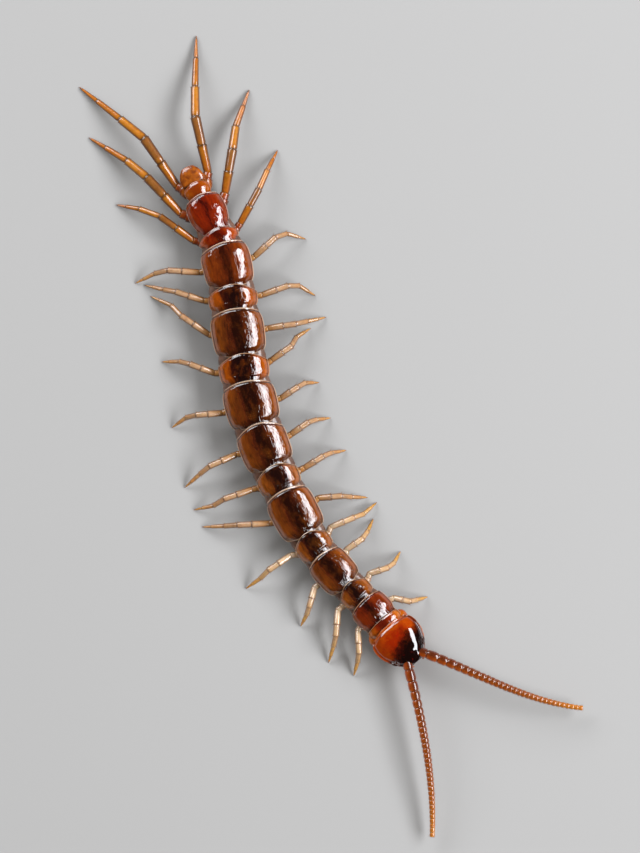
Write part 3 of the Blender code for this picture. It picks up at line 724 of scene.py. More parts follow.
LONG_SIZE, SHORT_SIZE = (2.7, 2.5), (2.4, 1.5)       # typical widths and lengths of plates
TANS = {
    # Hard chitin of the back plates, tanned darkest in the middle of the body and reddest at its tail
    "long": Tan("long_plate_chitin", "#1c0703", "#3e1507", "#74380d", "#86440e", "#b49880", "#240c04",
                0.30, 0.44, LONG_SIZE, 0.062),
    "long_rear": Tan("rear_long_plate_chitin", "#280a03", "#481806", "#763009", "#8c420a", "#b49880",
                     "#2c0e04", 0.18, 0.44, LONG_SIZE, 0.062),
    "short": Tan("short_plate_chitin", "#150504", "#380f06", "#904006", "#a45208", "#a47c5c", "#1c0903",
                 0.42, 0.16, SHORT_SIZE, 0.06),
    "short_front": Tan("front_short_plate_chitin", "#170604", "#371208", "#80400f", "#945012", "#a88868",
                       "#1c0903", 0.42, 0.20, SHORT_SIZE, 0.06),
    "short_rear": Tan("rear_short_plate_chitin", "#3a0902", "#641403", "#923406", "#a84c08", "#a47c5c",
                      "#280a03", 0.40, 0.25, SHORT_SIZE, 0.06),
    "neck": Tan("neck_plate_chitin", "#1c0503", "#421005", "#6a2006", "#863808", "#a88468", "#240903",
                0.22, 0.36, SHORT_SIZE, 0.06),
    "tail": Tan("tail_plate_chitin", "#380803", "#581204", "#761e04", "#8a3606", "#b09484", "#2c0803",
                0.07, 0.24, LONG_SIZE, 0.05),
    "last": Tan("last_plate_chitin", "#6e2804", "#7e3205", "#924406", "#a4540c", "#b87848", "#6a1c04",
                0.35, 0.3, (1.3, 0.9), 0.04),
    "band": Tan("band_plate_chitin", "#4c0f03", "#782003", "#9e4606", "#b4620c", "#b08460", "#300b03",
                0.45, 0.3, (2.1, 0.7), 0.04),
}
FINISHES = {kind: plate_finish(tan) for kind, tan in TANS.items()}
FINISHES |= {
    # Softer chitin of the tail end: mottled orange, satin where the plates are like lacquer
    "end": plain_finish("tail_end_chitin", "#a0540b", "#5c2204", 0.24, 0.3, 0.6, glow=0.1, depth=0.005),
    # Skin between the plates, untanned and folded: a dull grey brown
    "skin": plain_finish("joint_skin", "#6e4e3e", "#4a3024", 0.30, 0.40, coat=0.3, glow=0.2, depth=0.006),
    # Thin chitin of the underside and flanks: clear amber over pale flesh
    "belly": plain_finish("belly_plate_chitin", "#b0763c", "#8a4f22", 0.5, 0.25, coat=0.6, glow=0.25),
    # Thick clear chitin of the jaws and the head's underside: deep orange and glossy
    "jaw": plain_finish("jaw_chitin", "#ac5c10", "#943e06", 0.5, 0.18, coat=0.9, glow=0.15),
    # Chitin hardened at the tips of jaws and teeth: almost black; it also colours the breathing pores,
    # where the black is painted shade for their openings
    "claw": plain_finish("claw_chitin", "#4a1c0a", "#2a0e06", 0.1, 0.2, coat=0.5),
    # Leg claws, hardened less: clear brown
    "nail": plain_finish("leg_claw_chitin", "#8a501c", "#6a3812", 0.1, 0.3, coat=0.5, glow=0.2),
    # Hairs and spines without wax: straw brown, with hardly a shine
    "bristle": plain_finish("bristle_chitin", "#9a6a3c", "#6a4420", 0.2, 0.35),
    # Clear lenses over black pigment: like small drops of tar
    "eye": plain_finish("eye_lens", "#1c0a05", "#3a1608", 0.05, 0.06, coat=1.0, depth=0.0005),
    "head": head_finish(),
    "feeler": feeler_finish(),
    # Each leg: tones along it, its joint colour, its colour for mottling and painted edge shade, and how
    # strongly that painted shade lies
    "leg_pale": leg_finish("front_leg_chitin", (
        (0.0, "#9c7c60"), (0.30, "#c4a888"), (0.45, "#bc9c78"), (0.62, "#b48e62"), (0.80, "#b48642"),
        (1.0, "#b07c30")), "#6a4630", "#5c3c28", 0.6),
    "leg_amber": leg_finish("middle_leg_chitin", (
        (0.0, "#a0682c"), (0.29, "#a87640"), (0.42, "#ac8866"), (0.60, "#a47e5a"), (0.80, "#aa7a46"),
        (1.0, "#b4803c")), "#4c2c18", "#50301c", 0.65),
    "leg_orange": leg_finish("hind_leg_chitin", (
        (0.0, "#7c2804"), (0.24, "#8a3a06"), (0.30, "#a4580a"), (0.42, "#a06010"), (0.46, "#7e4c1c"),
        (0.565, "#80501e"), (0.585, "#ac6810"), (0.70, "#b06e14"), (0.73, "#a4600e"), (0.86, "#a86010"),
        (1.0, "#ac661c")), "#241006", "#42200a", 0.8),
}


class PlateStyle(NamedTuple):
    """How a back plate is finished and shaped."""
    finish: str
    front_curve: float     # how far its ends draw back at the sides
    hind_curve: float
    hidden: float          # how much of it lies under the plate before
    rim: float             # shares of the full height of a raised rim, and of a fold across its front
    ridge: float
    tuck: float            # how far its front dips, and how steeply its hind edge rolls down
    roll: float


STYLES = {
    LONG_PLATE: PlateStyle("long", 0.30, 0.13, 0.32, 1.0, 0.0, 0.11, 0.15),
    SHORT_PLATE: PlateStyle("short", 0.06, 0.42, 0.20, 0.3, 1.0, 0.06, 0.54),
    NECK_PLATE: PlateStyle("neck", 0.04, 0.12, 0.20, 0.8, 0.0, 0.08, 0.25),
    TAIL_PLATE: PlateStyle("tail", 0.16, 0.16, 0.32, 0.9, 0.0, 0.11, 0.15),
    LAST_PLATE: PlateStyle("last", 0.02, 0.24, 0.20, 0.3, 0.0, 0.08, 0.30),
    BAND_PLATE: PlateStyle("band", 0.02, 0.04, 0.20, 0.8, 0.0, 0.03, 0.15),
}
# Plates that differ from others of their kind
SPECIALS = {
    "trunk_02": {"finish": "short_front"},
    "trunk_04": {"finish": "short_front"},
    "trunk_06": {"finish": "short_front"},
    "trunk_07": {"hind_curve": 0.36},
    "trunk_12": {"finish": "long_rear"},
    "trunk_13": {"finish": "short_rear", "ridge": 0.25},
}


def build_plate(part):
    """One back plate: arched, rimmed, tucked under the plate before it and lying over the next."""
    style = STYLES[part.outline]._replace(**SPECIALS.get(part.name, {}))
    start, end = ends(part, SEAM / 2, -SEAM / 2)
    number = BODY.index(part)

    def place_of(u, v):
        across = 2 * u - 1
        side = abs(across)
        first = start - style.hidden + style.front_curve * side ** 2.5
        last = end + PLATE_OVERLAP - style.hind_curve * side ** 2.2
        distance = first + (last - first) * v
        share = (distance - start) / (end - start)
        half = max(part.plate / 2 * eased(part.outline, share), eased(FLANKS, distance) / 2 * 0.96)
        inside, behind = (1.0 - side) * half, last - distance
        top, belly = eased(TOP, distance), eased(BELLY, distance)
        edge = belly + EDGE_SHARE * (top - belly)
        height = edge + (top - edge) * arch(across) + PLATE_CROWN * math.sin(math.pi * v) * (1 - side ** 4)
        height -= style.tuck * (1.0 - ramp(distance, start - 0.20, start + 0.22))
        height -= style.roll * excess(0.15 - behind, 0.03)
        height += style.rim * (swellings(inside, RIM_SIDES) + swellings(behind, RIM_HIND))
        height += style.ridge * swellings(distance - start, FRONT_FOLD) * (1.0 - side ** 2)
        height += waves(Vector((distance * 1.3, across * 2.3, number * 3.1)), PLATE_WAVES)
        return body_point(distance, across * half, height)

    name = "back_plate_" + part.name[-2:] if part in TRUNK else "neck_band"
    shape = facing(grid(48, round(part.length * 32) + 8, place_of, edge_rich, end_rich), True)
    dress(name, shape, [style.finish], [part.name], PLATE_WALL)


# Place, height and size of the small plates beside a length, for a body of the usual height
SCUTES = ((-0.30, 1.10, 0.17), (0.26, 1.12, 0.15), (0.02, 0.98, 0.13))
USUAL_HEIGHT = 1.9
PORED_LENGTHS = (3, 5, 8, 10, 12, 14)


def flank_pieces(number, part):
    """The small hard plates in the skin beside one length, and its breathing pores as dark ovals, painted
    shade for their openings.
    """
    middle = STARTS[part.name] + part.length / 2
    pieces = []
    for sign in (1, -1):
        lateral = sign * (eased(FLANKS, middle) / 2 * 1.02)
        for back, height, size in SCUTES:
            height *= part.top / USUAL_HEIGHT
            spot = body_point(middle + back * part.length / 2, lateral, height)
            pieces.append(use_finish(blob(spot, (0.05, size, size * 0.55), 16, 8), 1))
        if number in PORED_LENGTHS:
            # A breathing pore: a dark oval whose blackness is painted shade for the opening
            spot = body_point(middle + 0.36, lateral * 1.01, 1.20 * part.top / USUAL_HEIGHT)
            pieces.append(use_finish(blob(spot, (0.045, 0.09, 0.04), 12, 8), 2))
    return pieces


def build_skin():
    """The soft skin of the whole trunk, folded and swollen between the plates."""
    first, last = STARTS["head"] + 1.9, STARTS["telson"] + 0.30
    borders = [STARTS[part.name] for part in BODY[1:]]

    def place_of(u, v):
        distance = first + (last - first) * v
        closing = rounded_ends(v, 60)
        half = eased(FLANKS, distance) / 2 * 1.04
        half *= 1.0 + 0.07 * bump(min(abs(distance + 0.18 - border) for border in borders), 0.0, 0.32)
        top, belly = eased(TOP, distance) - 0.36, eased(BELLY, distance) + 0.01
        middle, rise = (top + belly) / 2, (top - belly) / 2
        ripple = 0.008 * math.sin(distance * 2 * math.pi / 0.15)
        sideways, upward = squared(u, 0.72)
        lateral = (half + ripple) * sideways * closing
        height = middle + (rise + ripple) * upward * closing
        crumple = Vector((distance * 2.2, lateral * 2.0, height * 2.0))
        return body_point(distance, lateral, height) + noise.noise_vector(crumple) * 0.012

    pieces = [closed(grid(48, 330, place_of))]
    for number, part in enumerate(TRUNK, start=1):
        pieces += flank_pieces(number, part)
    trunk = [part.name for part in BODY[1:-1]]
    dress("soft_body", joined(pieces), ("skin", "belly", "claw"), trunk)


def build_belly_plate(part):
    """One belly plate, a shallow trapezium narrower behind."""
    start, end = ends(part, 0.08, -0.06)
    half = part.flanks / 2 * 0.60

    def place_of(u, v):
        across = 2 * u - 1
        distance = start + (end - start) * v - 0.10 * across ** 4 * (2 * v - 1)
        width = half * (1.0 - 0.24 * v ** 2) * (1.0 - 0.10 * bump(v, 0.0, 0.15))
        height = eased(BELLY, distance) - 0.02 + 0.09 * across ** 4 + 0.03 * (2 * v - 1) ** 6
        return body_point(distance, across * width, height)

    name = "belly_plate_" + part.name[-2:]
    dress(name, facing(grid(16, 12, place_of), False), ["belly"], thickness=BELLY_WALL)


def build_tail_end():
    """The blunt last piece, rounded off in plan and from the side, with two grooves along its back."""
    part = TAIL_END
    start, end = ends(part, -0.05, 0.01)
    middle, tall = (part.top + part.belly) / 2, (part.top - part.belly) / 2
    last_place = END_CAP[-2][0]

    def place_of(u, v):
        share = 1.0 - (1.0 - v) ** 1.6
        rounding = max(share - last_place, 0.0) / (1.0 - last_place)
        width = eased(END_CAP, min(share, last_place)) * math.sqrt(1 - rounding ** 2)
        sideways, upward = squared(u, 1.0)
        groove = 0.05 * (bump(sideways, 0.38, 0.10) + bump(sideways, -0.38, 0.10)) * (upward > 0)
        height = middle + tall * min(width, 1.0) * (1.0 - groove) * upward
        return body_point(start + (end - start) * share, part.plate / 2 * 1.06 * width * sideways, height)

    dress("tail_end", closed(grid(56, 28, place_of)), ["end"], [part.name])


def head_half(share):
    """Half width of the head at a share of its length."""
    return HEAD.plate / 2 * eased(HEAD_PLATE, share)


def build_head_shield():
    """The shield over the head, with a raised rim at its sides and behind."""
    def place_of(u, share):
        across = 2 * u - 1
        side = abs(across)
        last = HEAD.length + 0.11 - 0.10 * side ** 3
        distance = last * share
        along = distance / HEAD.length
        half = head_half(along)
        top, belly = eased(HEAD_TOP, along), eased(HEAD_UNDER, along)
        edge = belly + HEAD_EDGE_SHARE * (top - belly)
        height = edge + (top - edge) * head_arch(across)
        height += swellings((1.0 - side) * half, SHIELD_SIDES) + swellings(last - distance, SHIELD_HIND)
        height -= 0.005 * bump(along, 0.40 - 0.16 * side ** 2, 0.04) * (1 - side ** 6)
        height += waves(Vector((distance * 1.9, across * 2.4, 7.0)), SHIELD_WAVES)
        return body_point(distance, across * half, height)

    shape = facing(grid(60, 60, place_of, edge_rich, edge_rich), True)
    dress("head_shield", shape, ["head"], [HEAD.name], SHIELD_WALL)


# Distance along the body, place to the side, height and radius of points on a palp and on a jaw
PALP = ((0.95, 0.62, 0.98, 0.11), (0.62, 0.72, 0.90, 0.11), (0.30, 0.66, 0.88, 0.10),
        (0.06, 0.46, 0.90, 0.08), (-0.02, 0.30, 0.92, 0.035))
JAW = ((2.12, 0.74, 0.58, 0.24), (2.02, 1.02, 0.57, 0.25), (1.72, 1.15, 0.57, 0.26),
       (1.30, 1.12, 0.53, 0.23), (0.92, 0.93, 0.51, 0.19), (0.66, 0.62, 0.50, 0.14),
       (0.54, 0.30, 0.50, 0.085), (0.52, 0.10, 0.50, 0.02))


def mouthpart(sign, rows):
    """Points with radii of a palp or a jaw on one side of the head."""
    return [(body_point(distance, sign * lateral, height), radius)
            for distance, lateral, height, radius in rows]


def build_head_capsule():
    """The capsule under the head shield, with its mouth lobes and hairy palps."""
    def place_of(u, v):
        share = 0.02 + 0.98 * v
        closing = rounded_ends(v, 16)
        top, low = eased(HEAD_TOP, share), eased(HEAD_UNDER, share)
        high = low + HEAD_EDGE_SHARE * (top - low) + 0.12
        sideways, upward = squared(u, 0.8)
        lateral = head_half(share) * 0.93 * sideways * closing
        height = (low + high) / 2 + (high - low) / 2 * upward * closing
        return body_point(share * HEAD.length, lateral, height)

    pieces = [closed(grid(40, 30, place_of))]
    for sign in (1, -1):
        pieces.append(blob(body_point(0.62, sign * 0.24, 1.02), (0.22, 0.40, 0.20)))
        pieces.append(curved_tube(mouthpart(sign, PALP), 12, 6))
        for k in range(6):
            root = body_point(0.10 + 0.09 * k, sign * (0.50 + 0.04 * k), 0.94)
            direction = Vector((sign * 0.5, -1.0, 0.1 * (k % 3))).normalized()
            pieces.append(use_finish(bristle(root, direction, 0.22, 0.008), 1))
    dress("head_capsule", joined(pieces), ("jaw", "bristle"), [HEAD.name])


def blob(centre, radii, segments=20, rows=12):
    """An oval body."""
    shape, _ = mapped()
    bmesh.ops.create_uvsphere(shape, u_segments=segments, v_segments=rows, radius=1.0, calc_uvs=True)
    bmesh.ops.scale(shape, verts=shape.verts, vec=Vector(radii) * MM)
    bmesh.ops.translate(shape, verts=shape.verts, vec=centre * MM)
    return shape


def curve_through(points, steps):
    """Points of a smooth curve through the given ones, each with its radius."""
    ghosts = [points[0], *points, points[-1]]
    found = []
    for i in range(1, len(ghosts) - 2):
        (a, _), (b, rb), (c, rc), (d, _) = ghosts[i - 1:i + 3]
        for k in range(steps):
            t = k / steps
            weights = ((-t + 2 * t ** 2 - t ** 3) / 2, (2 - 5 * t ** 2 + 3 * t ** 3) / 2,
                       (t + 4 * t ** 2 - 3 * t ** 3) / 2, (t ** 3 - t ** 2) / 2)
            point = sum((p * w for p, w in zip((a, b, c, d), weights)), Vector())
            found.append((point, max(rb + (rc - rb) * t, 0.0)))
    return found + [points[-1]]


def with_directions(spots):
    """Adds the direction of travel to each (point, radius), for a tube."""
    stations = []
    for i, (point, radius) in enumerate(spots):
        before, after = spots[max(i - 1, 0)][0], spots[min(i + 1, len(spots) - 1)][0]
        stations.append((point, (after - before).normalized(), radius))
    return stations


def curved_tube(points, columns, steps, mark=None):
    """A closed tube along a smooth curve, drawn in at both ends; one mark stands for all of it."""
    spots = curve_through(points, steps)
    first, last = spots[0], spots[-1]
    spots = [(first[0], first[1] * 0.5), *spots, (last[0], last[1] * 0.5)]
    stations = with_directions(spots)
    stations[0] = (stations[0][0], stations[1][1], stations[0][2])
    stations[-1] = (stations[-1][0], stations[-2][1], stations[-1][2])
    return tube(stations, columns, [mark] * len(stations) if mark else None)


def eye_frame(sign):
    """Centre of an eye on the head's edge, with its long, upward and outward directions."""
    centre, ahead = (body_point(HEAD.length * share, sign * EYE_INSET * head_half(share), EYE_HEIGHT)
                     for share in (EYE_PLACE, EYE_PLACE - EYE_AHEAD))
    along = (ahead - centre).normalized()
    outward = along.cross(UP) * sign
    outward = (outward.normalized() + UP * EYE_LOOK_UP).normalized()
    return centre, along, outward.cross(along).normalized(), outward


EYE_ROWS = ((4, -0.118), (6, -0.042), (6, 0.036), (4, 0.110))      # lenses in each row, and its height
LENS_SPACING, LENS_RADIUS = 0.076, 0.036


def build_eye(side):
    """A cluster of small round lenses in four rows on a black oval base."""
    sign, letter, _ = SIDES[side]
    centre, along, upward, outward = eye_frame(sign)
    turned = Matrix((along, upward, outward)).transposed().to_4x4()
    base = blob(Vector(), EYE_RADII)
    bmesh.ops.transform(base, matrix=Matrix.Translation(centre * MM) @ turned, verts=base.verts)
    lenses = [base]
    for row, (count, height) in enumerate(EYE_ROWS):
        for step in range(count):
            ahead = (step - (count - 1) / 2 + 0.25 * (row % 2)) * LENS_SPACING
            reach = 1.0 - (ahead / EYE_RADII[0]) ** 2 - (height / EYE_RADII[1]) ** 2
            lift = EYE_RADII[2] * math.sqrt(max(reach, 0.05))
            spot = centre + along * ahead + upward * height + outward * lift
            lenses.append(blob(spot, (LENS_RADIUS,) * 3, 12, 8))
    dress("eye_" + side, joined(lenses), ["eye"], ["eye_" + letter])


JAW_JOINTS = (0.46, 0.58, 0.70)
JAW_CLAW_START = 0.72


def build_jaw(side):
    """A poison jaw, swollen at its root and drawn out into a dark claw."""
    sign, letter, _ = SIDES[side]
    spots = curve_through(mouthpart(sign, JAW), 8)
    stations = []
    for i, (point, direction, radius) in enumerate(with_directions(spots)):
        pinch = sum(bump(i / (len(spots) - 1), joint, 0.018) for joint in JAW_JOINTS)
        stations.append((point, direction, radius * (1.0 - 0.14 * pinch)))
    shape = tube(stations, 20)
    surface = shape.loops.layers.uv["Surface"]
    for face in shape.faces:
        face.material_index = int(min(loop[surface].uv.y for loop in face.loops) > JAW_CLAW_START)
    root = blob(body_point(2.44, sign * 0.93, 0.92), (0.36, 0.44, 0.40), 28, 18)
    dress("jaw_" + side, joined([shape, root]), ("jaw", "claw"), ["forcipule_" + letter])


def build_jaw_plate():
    """The plate under the head that carries the jaws, with its two pairs of teeth in front."""
    def place_of(u, v):
        half = 0.52 + 0.18 * ramp(v, 0.0, 0.25)
        closing = rounded_ends(v, 20)
        sideways, upward = squared(u, 0.6)
        return body_point(1.15 + 1.45 * v, half * sideways * closing, 0.58 + 0.16 * upward * closing)

    pieces = [closed(grid(36, 24, place_of))]
    for lateral in (-0.24, -0.10, 0.10, 0.24):
        tooth = mouthpart(1, ((1.20, lateral, 0.50, 0.05), (1.10, lateral, 0.50, 0.045),
                              (1.03, lateral, 0.50, 0.015)))
        pieces.append(use_finish(curved_tube(tooth, 8, 3), 1))
    dress("jaw_plate", joined(pieces), ("jaw", "claw"), ["forcipular_segment"])


def bristle(root, direction, length, thickness):
    """One stiff tapered hair of three sides."""
    shape, _ = mapped()
    bmesh.ops.create_cone(shape, cap_ends=True, segments=3, radius1=thickness * MM,
                          radius2=thickness * 0.12 * MM, depth=length * MM)
    bmesh.ops.translate(shape, verts=shape.verts, vec=UP * length / 2 * MM)
    turned = direction.to_track_quat("Z", "Y").to_matrix().to_4x4()
    bmesh.ops.transform(shape, matrix=Matrix.Translation(root * MM) @ turned, verts=shape.verts)
    return shape


def bristles_on(stations, spacing, length, thickness, slant):
    """Bristles all round a tube, leaning towards its tip and clear of the floor."""
    shapes = []
    for (a, along, ra), (b, _, rb) in zip(stations, stations[1:]):
        count = (b - a).length / spacing
        for _ in range(int(count) + (DRAW.random() < count % 1)):
            share, turn = DRAW.random(), DRAW.uniform(0, 2 * math.pi)
            outward = radial(along, turn)
            root = a.lerp(b, share) + outward * (ra + (rb - ra) * share) * 0.94
            direction = (outward + along * slant).normalized()
            long = length * DRAW.uniform(0.6, 1.2)
            if root.z > 0.0 and root.z + direction.z * long > 0.03:
                shapes.append(bristle(root, direction, long, thickness))
    return shapes


# Radius along one leg piece, as a share of its size: a little neck, then an almost even barrel
SWELL = ((0.0, 0.89), (0.025, 0.92), (0.07, 0.98), (0.16, 1.0), (0.45, 1.0), (0.78, 1.02), (0.92, 1.03),
         (0.965, 0.99), (0.988, 0.93))


def leg_joints(number, side):
    """Joints of a leg from its root to its tip, with the root's outward direction."""
    sign, _, poses = SIDES[side]
    pose = poses[number - 1]
    part = TRUNK[number - 1]
    distance = STARTS[part.name] + part.length / 2
    half, belly, top = eased(FLANKS, distance) / 2, eased(BELLY, distance), eased(TOP, distance)
    upper = (half, belly + EDGE_SHARE * (top - belly) - PLATE_THICKNESS)
    lower = (half * BELLY_INSET, belly + BELLY_RISE)
    lateral = lower[0] + (upper[0] - lower[0]) * COXA_SHARE
    height = lower[1] + (upper[1] - lower[1]) * COXA_SHARE
    _, left, tailward = place(distance + LEAN * (height - AXIS_HEIGHT))
    sideways = left * sign
    slope = Vector((upper[1] - lower[1], lower[0] - upper[0])).normalized()
    outward = sideways * slope[0] + UP * slope[1]

    def step(point, angle, travel, z):
        sweep = math.radians(angle)
        moved = point + (sideways * math.cos(sweep) + tailward * math.sin(sweep)) * travel
        moved.z = z
        return moved

    root = body_point(distance, sign * lateral, height)
    hip = step(root, pose.coxa, COXA_LENGTH[number - 1], COXA_END_HEIGHT[number - 1])
    joints = [root - outward * 0.10, root.lerp(hip, 0.60), hip]
    shares = PIECE_SHARES[number - 1]
    for piece, share in zip(LEG_PIECES, shares):
        lift = LEG_LIFT[number - 1] if piece.height > KNEE_HEIGHT else 0.0
        joints.append(step(joints[-1], getattr(pose, piece.sweep), pose.reach * share, piece.height + lift))
    joints.append(step(joints[-1], pose.foot, pose.reach * shares[-1], 0.02))
    return joints


def leg_radii(piece, number):
    """Radii of a leg piece at its start and end on one pair of legs."""
    return (piece.stout_start, piece.stout_end) if number in THICKEST_PAIRS else (piece.start, piece.end)


def leg_tube(number, joints):
    """Tube stations of a leg, each with its place along the leg in pieces."""
    stations, marks = [], []
    pieces = HIP_PIECES + LEG_PIECES
    for k, piece in enumerate(pieces):
        a, b = joints[k], joints[k + 1]
        along = (b - a).normalized()
        before = (a - joints[k - 1]).normalized() if k else along
        after = (joints[k + 2] - b).normalized()
        start, end = leg_radii(piece, number)
        for share, swell in SWELL:
            turned = along.lerp(before, 0.5 * (1 - ramp(share, 0.0, 0.12)))
            turned = turned.lerp(after, 0.5 * ramp(share, 0.88, 1.0))
            radius = (start + (end - start) * share) * LEG_STOUTNESS[number - 1] * swell
            stations.append((a.lerp(b, share), turned.normalized(), radius))
            marks.append((k + share) / len(pieces))
    stations.append((joints[-2], (joints[-1] - joints[-2]).normalized(), stations[-1][2] * 0.9))
    return stations, marks + [1.0]


def leg_spines(number, joints):
    """Stout spines round the far ends of the thigh's pieces and the shin."""
    stout = LEG_STOUTNESS[number - 1]
    spines = []
    for k, piece in enumerate(LEG_PIECES[:3], start=len(HIP_PIECES)):
        a, b = joints[k], joints[k + 1]
        along = (b - a).normalized()
        for turn in (0.2, 1.4, 2.6, 3.7, 4.9):
            outward = radial(along, turn)
            root = a.lerp(b, 0.93) + outward * leg_radii(piece, number)[1] * stout * 0.95
            long = 0.17 * stout * DRAW.uniform(0.8, 1.2)
            spines.append(bristle(root, (along * 1.8 + outward).normalized(), long, 0.016))
    return spines


def build_leg(number, side):
    """Coxa, trochanter, thigh, shin and foot with their joints, a claw, spines and hairs."""
    joints = leg_joints(number, side)
    stations, marks = leg_tube(number, joints)
    spines = leg_spines(number, joints)
    hairs = bristles_on(stations[len(SWELL) * len(HIP_PIECES):], 0.060, 0.12, 0.0055, 0.9)
    claw_root, claw_tip = joints[-2:]
    bend = claw_root.lerp(claw_tip, 0.5) + UP * 0.015
    width = stations[-1][2]
    claw = curved_tube([(claw_root, width * 0.95), (bend, width * 0.6), (claw_tip, 0.008)], 8, 3)
    parts = [tube(stations, 18, marks), use_finish(claw, 1)]
    kind = "leg_pale" if number <= LAST_PALE else "leg_amber" if number <= LAST_AMBER else "leg_orange"
    finishes = [kind, "nail", "bristle"]
    if number == len(TRUNK):
        swollen_hip = blob(joints[0].lerp(joints[1], 0.55), (0.40, 0.50, 0.36), 28, 18)
        parts.append(use_finish(swollen_hip, len(finishes)))
        finishes.append("end")
    parts += [use_finish(extra, 2) for extra in spines + hairs]
    solid = f"leg_{SIDES[side][1]}_{number:02d}"
    dress(f"leg_{side}_{number:02d}", joined(parts), finishes, [solid])


ARTICLE = ((0.0, 0.84), (0.05, 0.88), (0.14, 0.99), (0.40, 1.04), (0.70, 1.05), (0.88, 1.0), (0.96, 0.90))


def article_share(number):
    """How far along the feeler an article starts."""
    place_in_row = number / ARTICLES
    extra = ARTICLE_EXTRA * (1 - math.exp(-place_in_row / ARTICLE_FADE))
    full = ARTICLE_EVEN + ARTICLE_EXTRA * (1 - math.exp(-1 / ARTICLE_FADE))
    return (ARTICLE_EVEN * place_in_row + extra) / full


def level_direction(heading):
    """A level direction, in degrees from -Y towards +X."""
    return Vector((math.sin(math.radians(heading)), -math.cos(math.radians(heading)), 0.0))


def feeler_path(point, pose, length, steps):
    """Points with directions along a feeler, whose heading goes smoothly from base to middle to tip."""
    path = [(point.copy(), level_direction(pose.base))]
    for i in range(steps):
        share = (i + 0.5) / steps
        level = level_direction(pose.base * (1 - share) * (1 - 2 * share)
                                + pose.middle * 4 * share * (1 - share)
                                + pose.tip * share * (2 * share - 1))
        point = point + level * length / steps
        path.append((point.copy(), level))
    return path


def build_feeler(side):
    """A feeler of bead-like articles from its socket to its tip, with fine hairs."""
    sign, letter, _ = SIDES[side]
    pose = ANTENNAE[side]
    lateral, back, height = SOCKET_AT
    start = body_point(back, sign * lateral, height)
    direction = level_direction(pose.base)
    collar = [(start - direction * 0.2, SOCKET_RADIUS * 0.8), (start + direction * 0.20, SOCKET_RADIUS),
              (start + direction * (SOCKET_LENGTH - 0.05), SOCKET_RADIUS * 0.94)]
    length, steps = pose.length + SEAM, 400
    path = feeler_path(start + direction * SOCKET_LENGTH, pose, length, steps)
    stations, marks = [], []
    for article in range(ARTICLES):
        first, last = article_share(article), article_share(article + 1)
        for within, swell in ARTICLE:
            share = first + (last - first) * within
            nearest = round(share * steps)
            spot, level = path[nearest]
            centre = spot + level * (share - nearest / steps) * length
            centre.z = eased(ANTENNA_HEIGHT, share)
            stations.append((centre, level, eased(ANTENNA_RADIUS, share) * swell))
            marks.append((article + within) / ARTICLES)
    tip, level = path[-1]
    tip.z = ANTENNA_HEIGHT[-1][1]
    for back, share in ((0.05, 0.72), (0.02, 0.48), (0.0, 0.15)):
        stations.append((tip - level * back, level, ANTENNA_RADIUS[-1][1] * share))
        marks.append(1.0 - back / 10)
    root, level, radius = stations[0]
    stations.insert(0, (root - level * 0.22, level, radius * 0.9))
    marks.insert(0, 0.2 / ARTICLES)
    pieces = [tube(stations, 18, marks), curved_tube(collar, 20, 4, 0.3 / ARTICLES)]
    pieces += [use_finish(extra, 1) for extra in bristles_on(stations, 0.012, 0.11, 0.0048, 0.8)]
    dress("feeler_" + side, joined(pieces), ("feeler", "bristle"), ["antenna_" + letter])


def build_animal():
    """The animal, piece by piece."""
    build_skin()
    for part in BODY[1:-1]:
        build_plate(part)
        if part in TRUNK:
            build_belly_plate(part)
    build_tail_end()
    build_head_shield()
    build_head_capsule()
    build_jaw_plate()
    for side in SIDES:
        build_eye(side)
        build_jaw(side)
        build_feeler(side)
        for number in range(1, len(TRUNK) + 1):
            build_leg(number, side)


# The photograph's frame on the floor plane, and the camera over it
FRAME_HEIGHT = 45.98
FRAME_CENTRE = (0.603, 0.359, 1.0)
FRAME_TURN = -23.75
CAMERA_DISTANCE = 400.0
SENSOR = 36.0
LIGHT_DISTANCE = 260.0


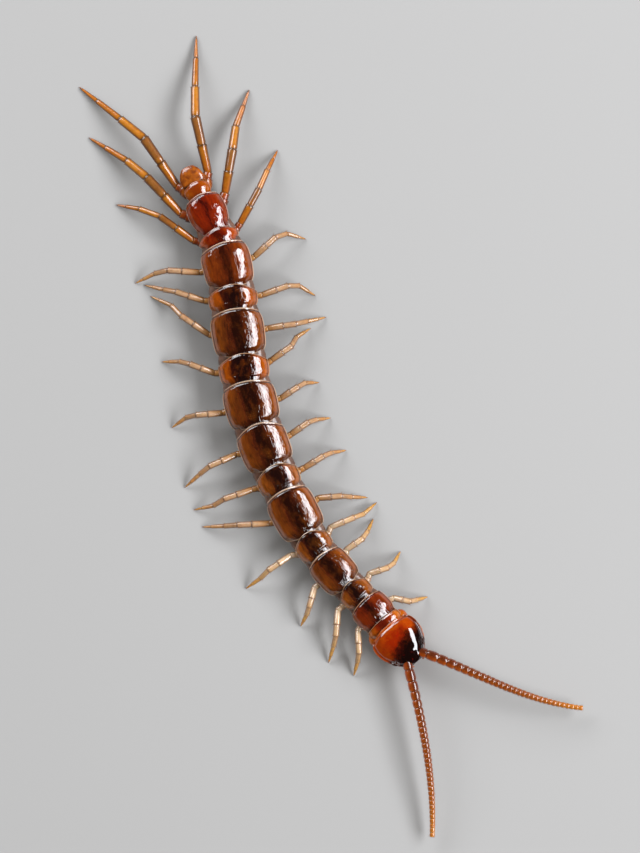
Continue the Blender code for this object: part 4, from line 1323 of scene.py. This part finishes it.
def build_camera():
    """A long lens looking straight down, turned as the photograph is."""
    data = bpy.data.cameras.new("camera")
    data.sensor_width = SENSOR
    data.lens = SENSOR * CAMERA_DISTANCE / FRAME_HEIGHT
    data.clip_start, data.clip_end = 0.01, 10.0
    camera = placed("camera", data)
    centre = Vector(FRAME_CENTRE) + UP * CAMERA_DISTANCE
    turn = Matrix.Rotation(math.radians(FRAME_TURN), 4, "Z")
    camera.matrix_world = Matrix.Translation(centre * MM) @ turn
    bpy.context.scene.camera = camera


def build_light(name, bearing, tilt, size, watts):
    """A rectangular softbox; bearing is from the image's right, tilt from straight up."""
    data = bpy.data.lights.new(name, "AREA")
    data.shape = "RECTANGLE"
    data.size, data.size_y = size[0] * MM, size[1] * MM
    data.energy = watts
    data.color = linear("#f8faff")[:3]
    light = placed(name, data)
    bearing_turn = Matrix.Rotation(math.radians(FRAME_TURN + bearing), 4, "Z")
    tilt_turn = Matrix.Rotation(math.radians(tilt), 4, "Y")
    light.matrix_world = bearing_turn @ tilt_turn @ Matrix.Translation(UP * LIGHT_DISTANCE * MM)


def build_stage():
    """A plain pale floor and the light round it."""
    shape, _ = mapped()
    bmesh.ops.create_grid(shape, x_segments=1, y_segments=1, size=2.0)
    floor = placed("floor", mesh_of("floor", shape))
    # Matt painted board: an even pale grey that mirrors nothing sharply
    finish, _, shader = new_finish("matt_painted_board", 0.8)
    shader.inputs["Base Color"].default_value = linear("#999896")
    floor.data.materials.append(finish)
    world = bpy.data.worlds.new("studio")
    world.use_nodes = True
    tree = world.node_tree
    # The room lights the set softly all round, but black cards keep the glossy plates from mirroring it
    mirrored = node(tree, "LightPath", out="Is Glossy Ray")
    strength = node(tree, "MapRange", {0: mirrored, 3: 0.40, 4: 0.02})
    tree.links.new(strength, tree.nodes["Background"].inputs["Strength"])
    tree.nodes["Background"].inputs["Color"].default_value = linear("#fffdfa")
    bpy.context.scene.world = world
    bpy.context.scene.view_settings.view_transform = "Standard"
    build_light("long_softbox", bearing=0.0, tilt=50.0, size=(104.0, 300.0), watts=1.32)
    build_light("rim_softbox", bearing=128.0, tilt=61.0, size=(110.0, 270.0), watts=0.75)


build_animal()
build_camera()
build_stage()
bpy.context.view_layer.update()
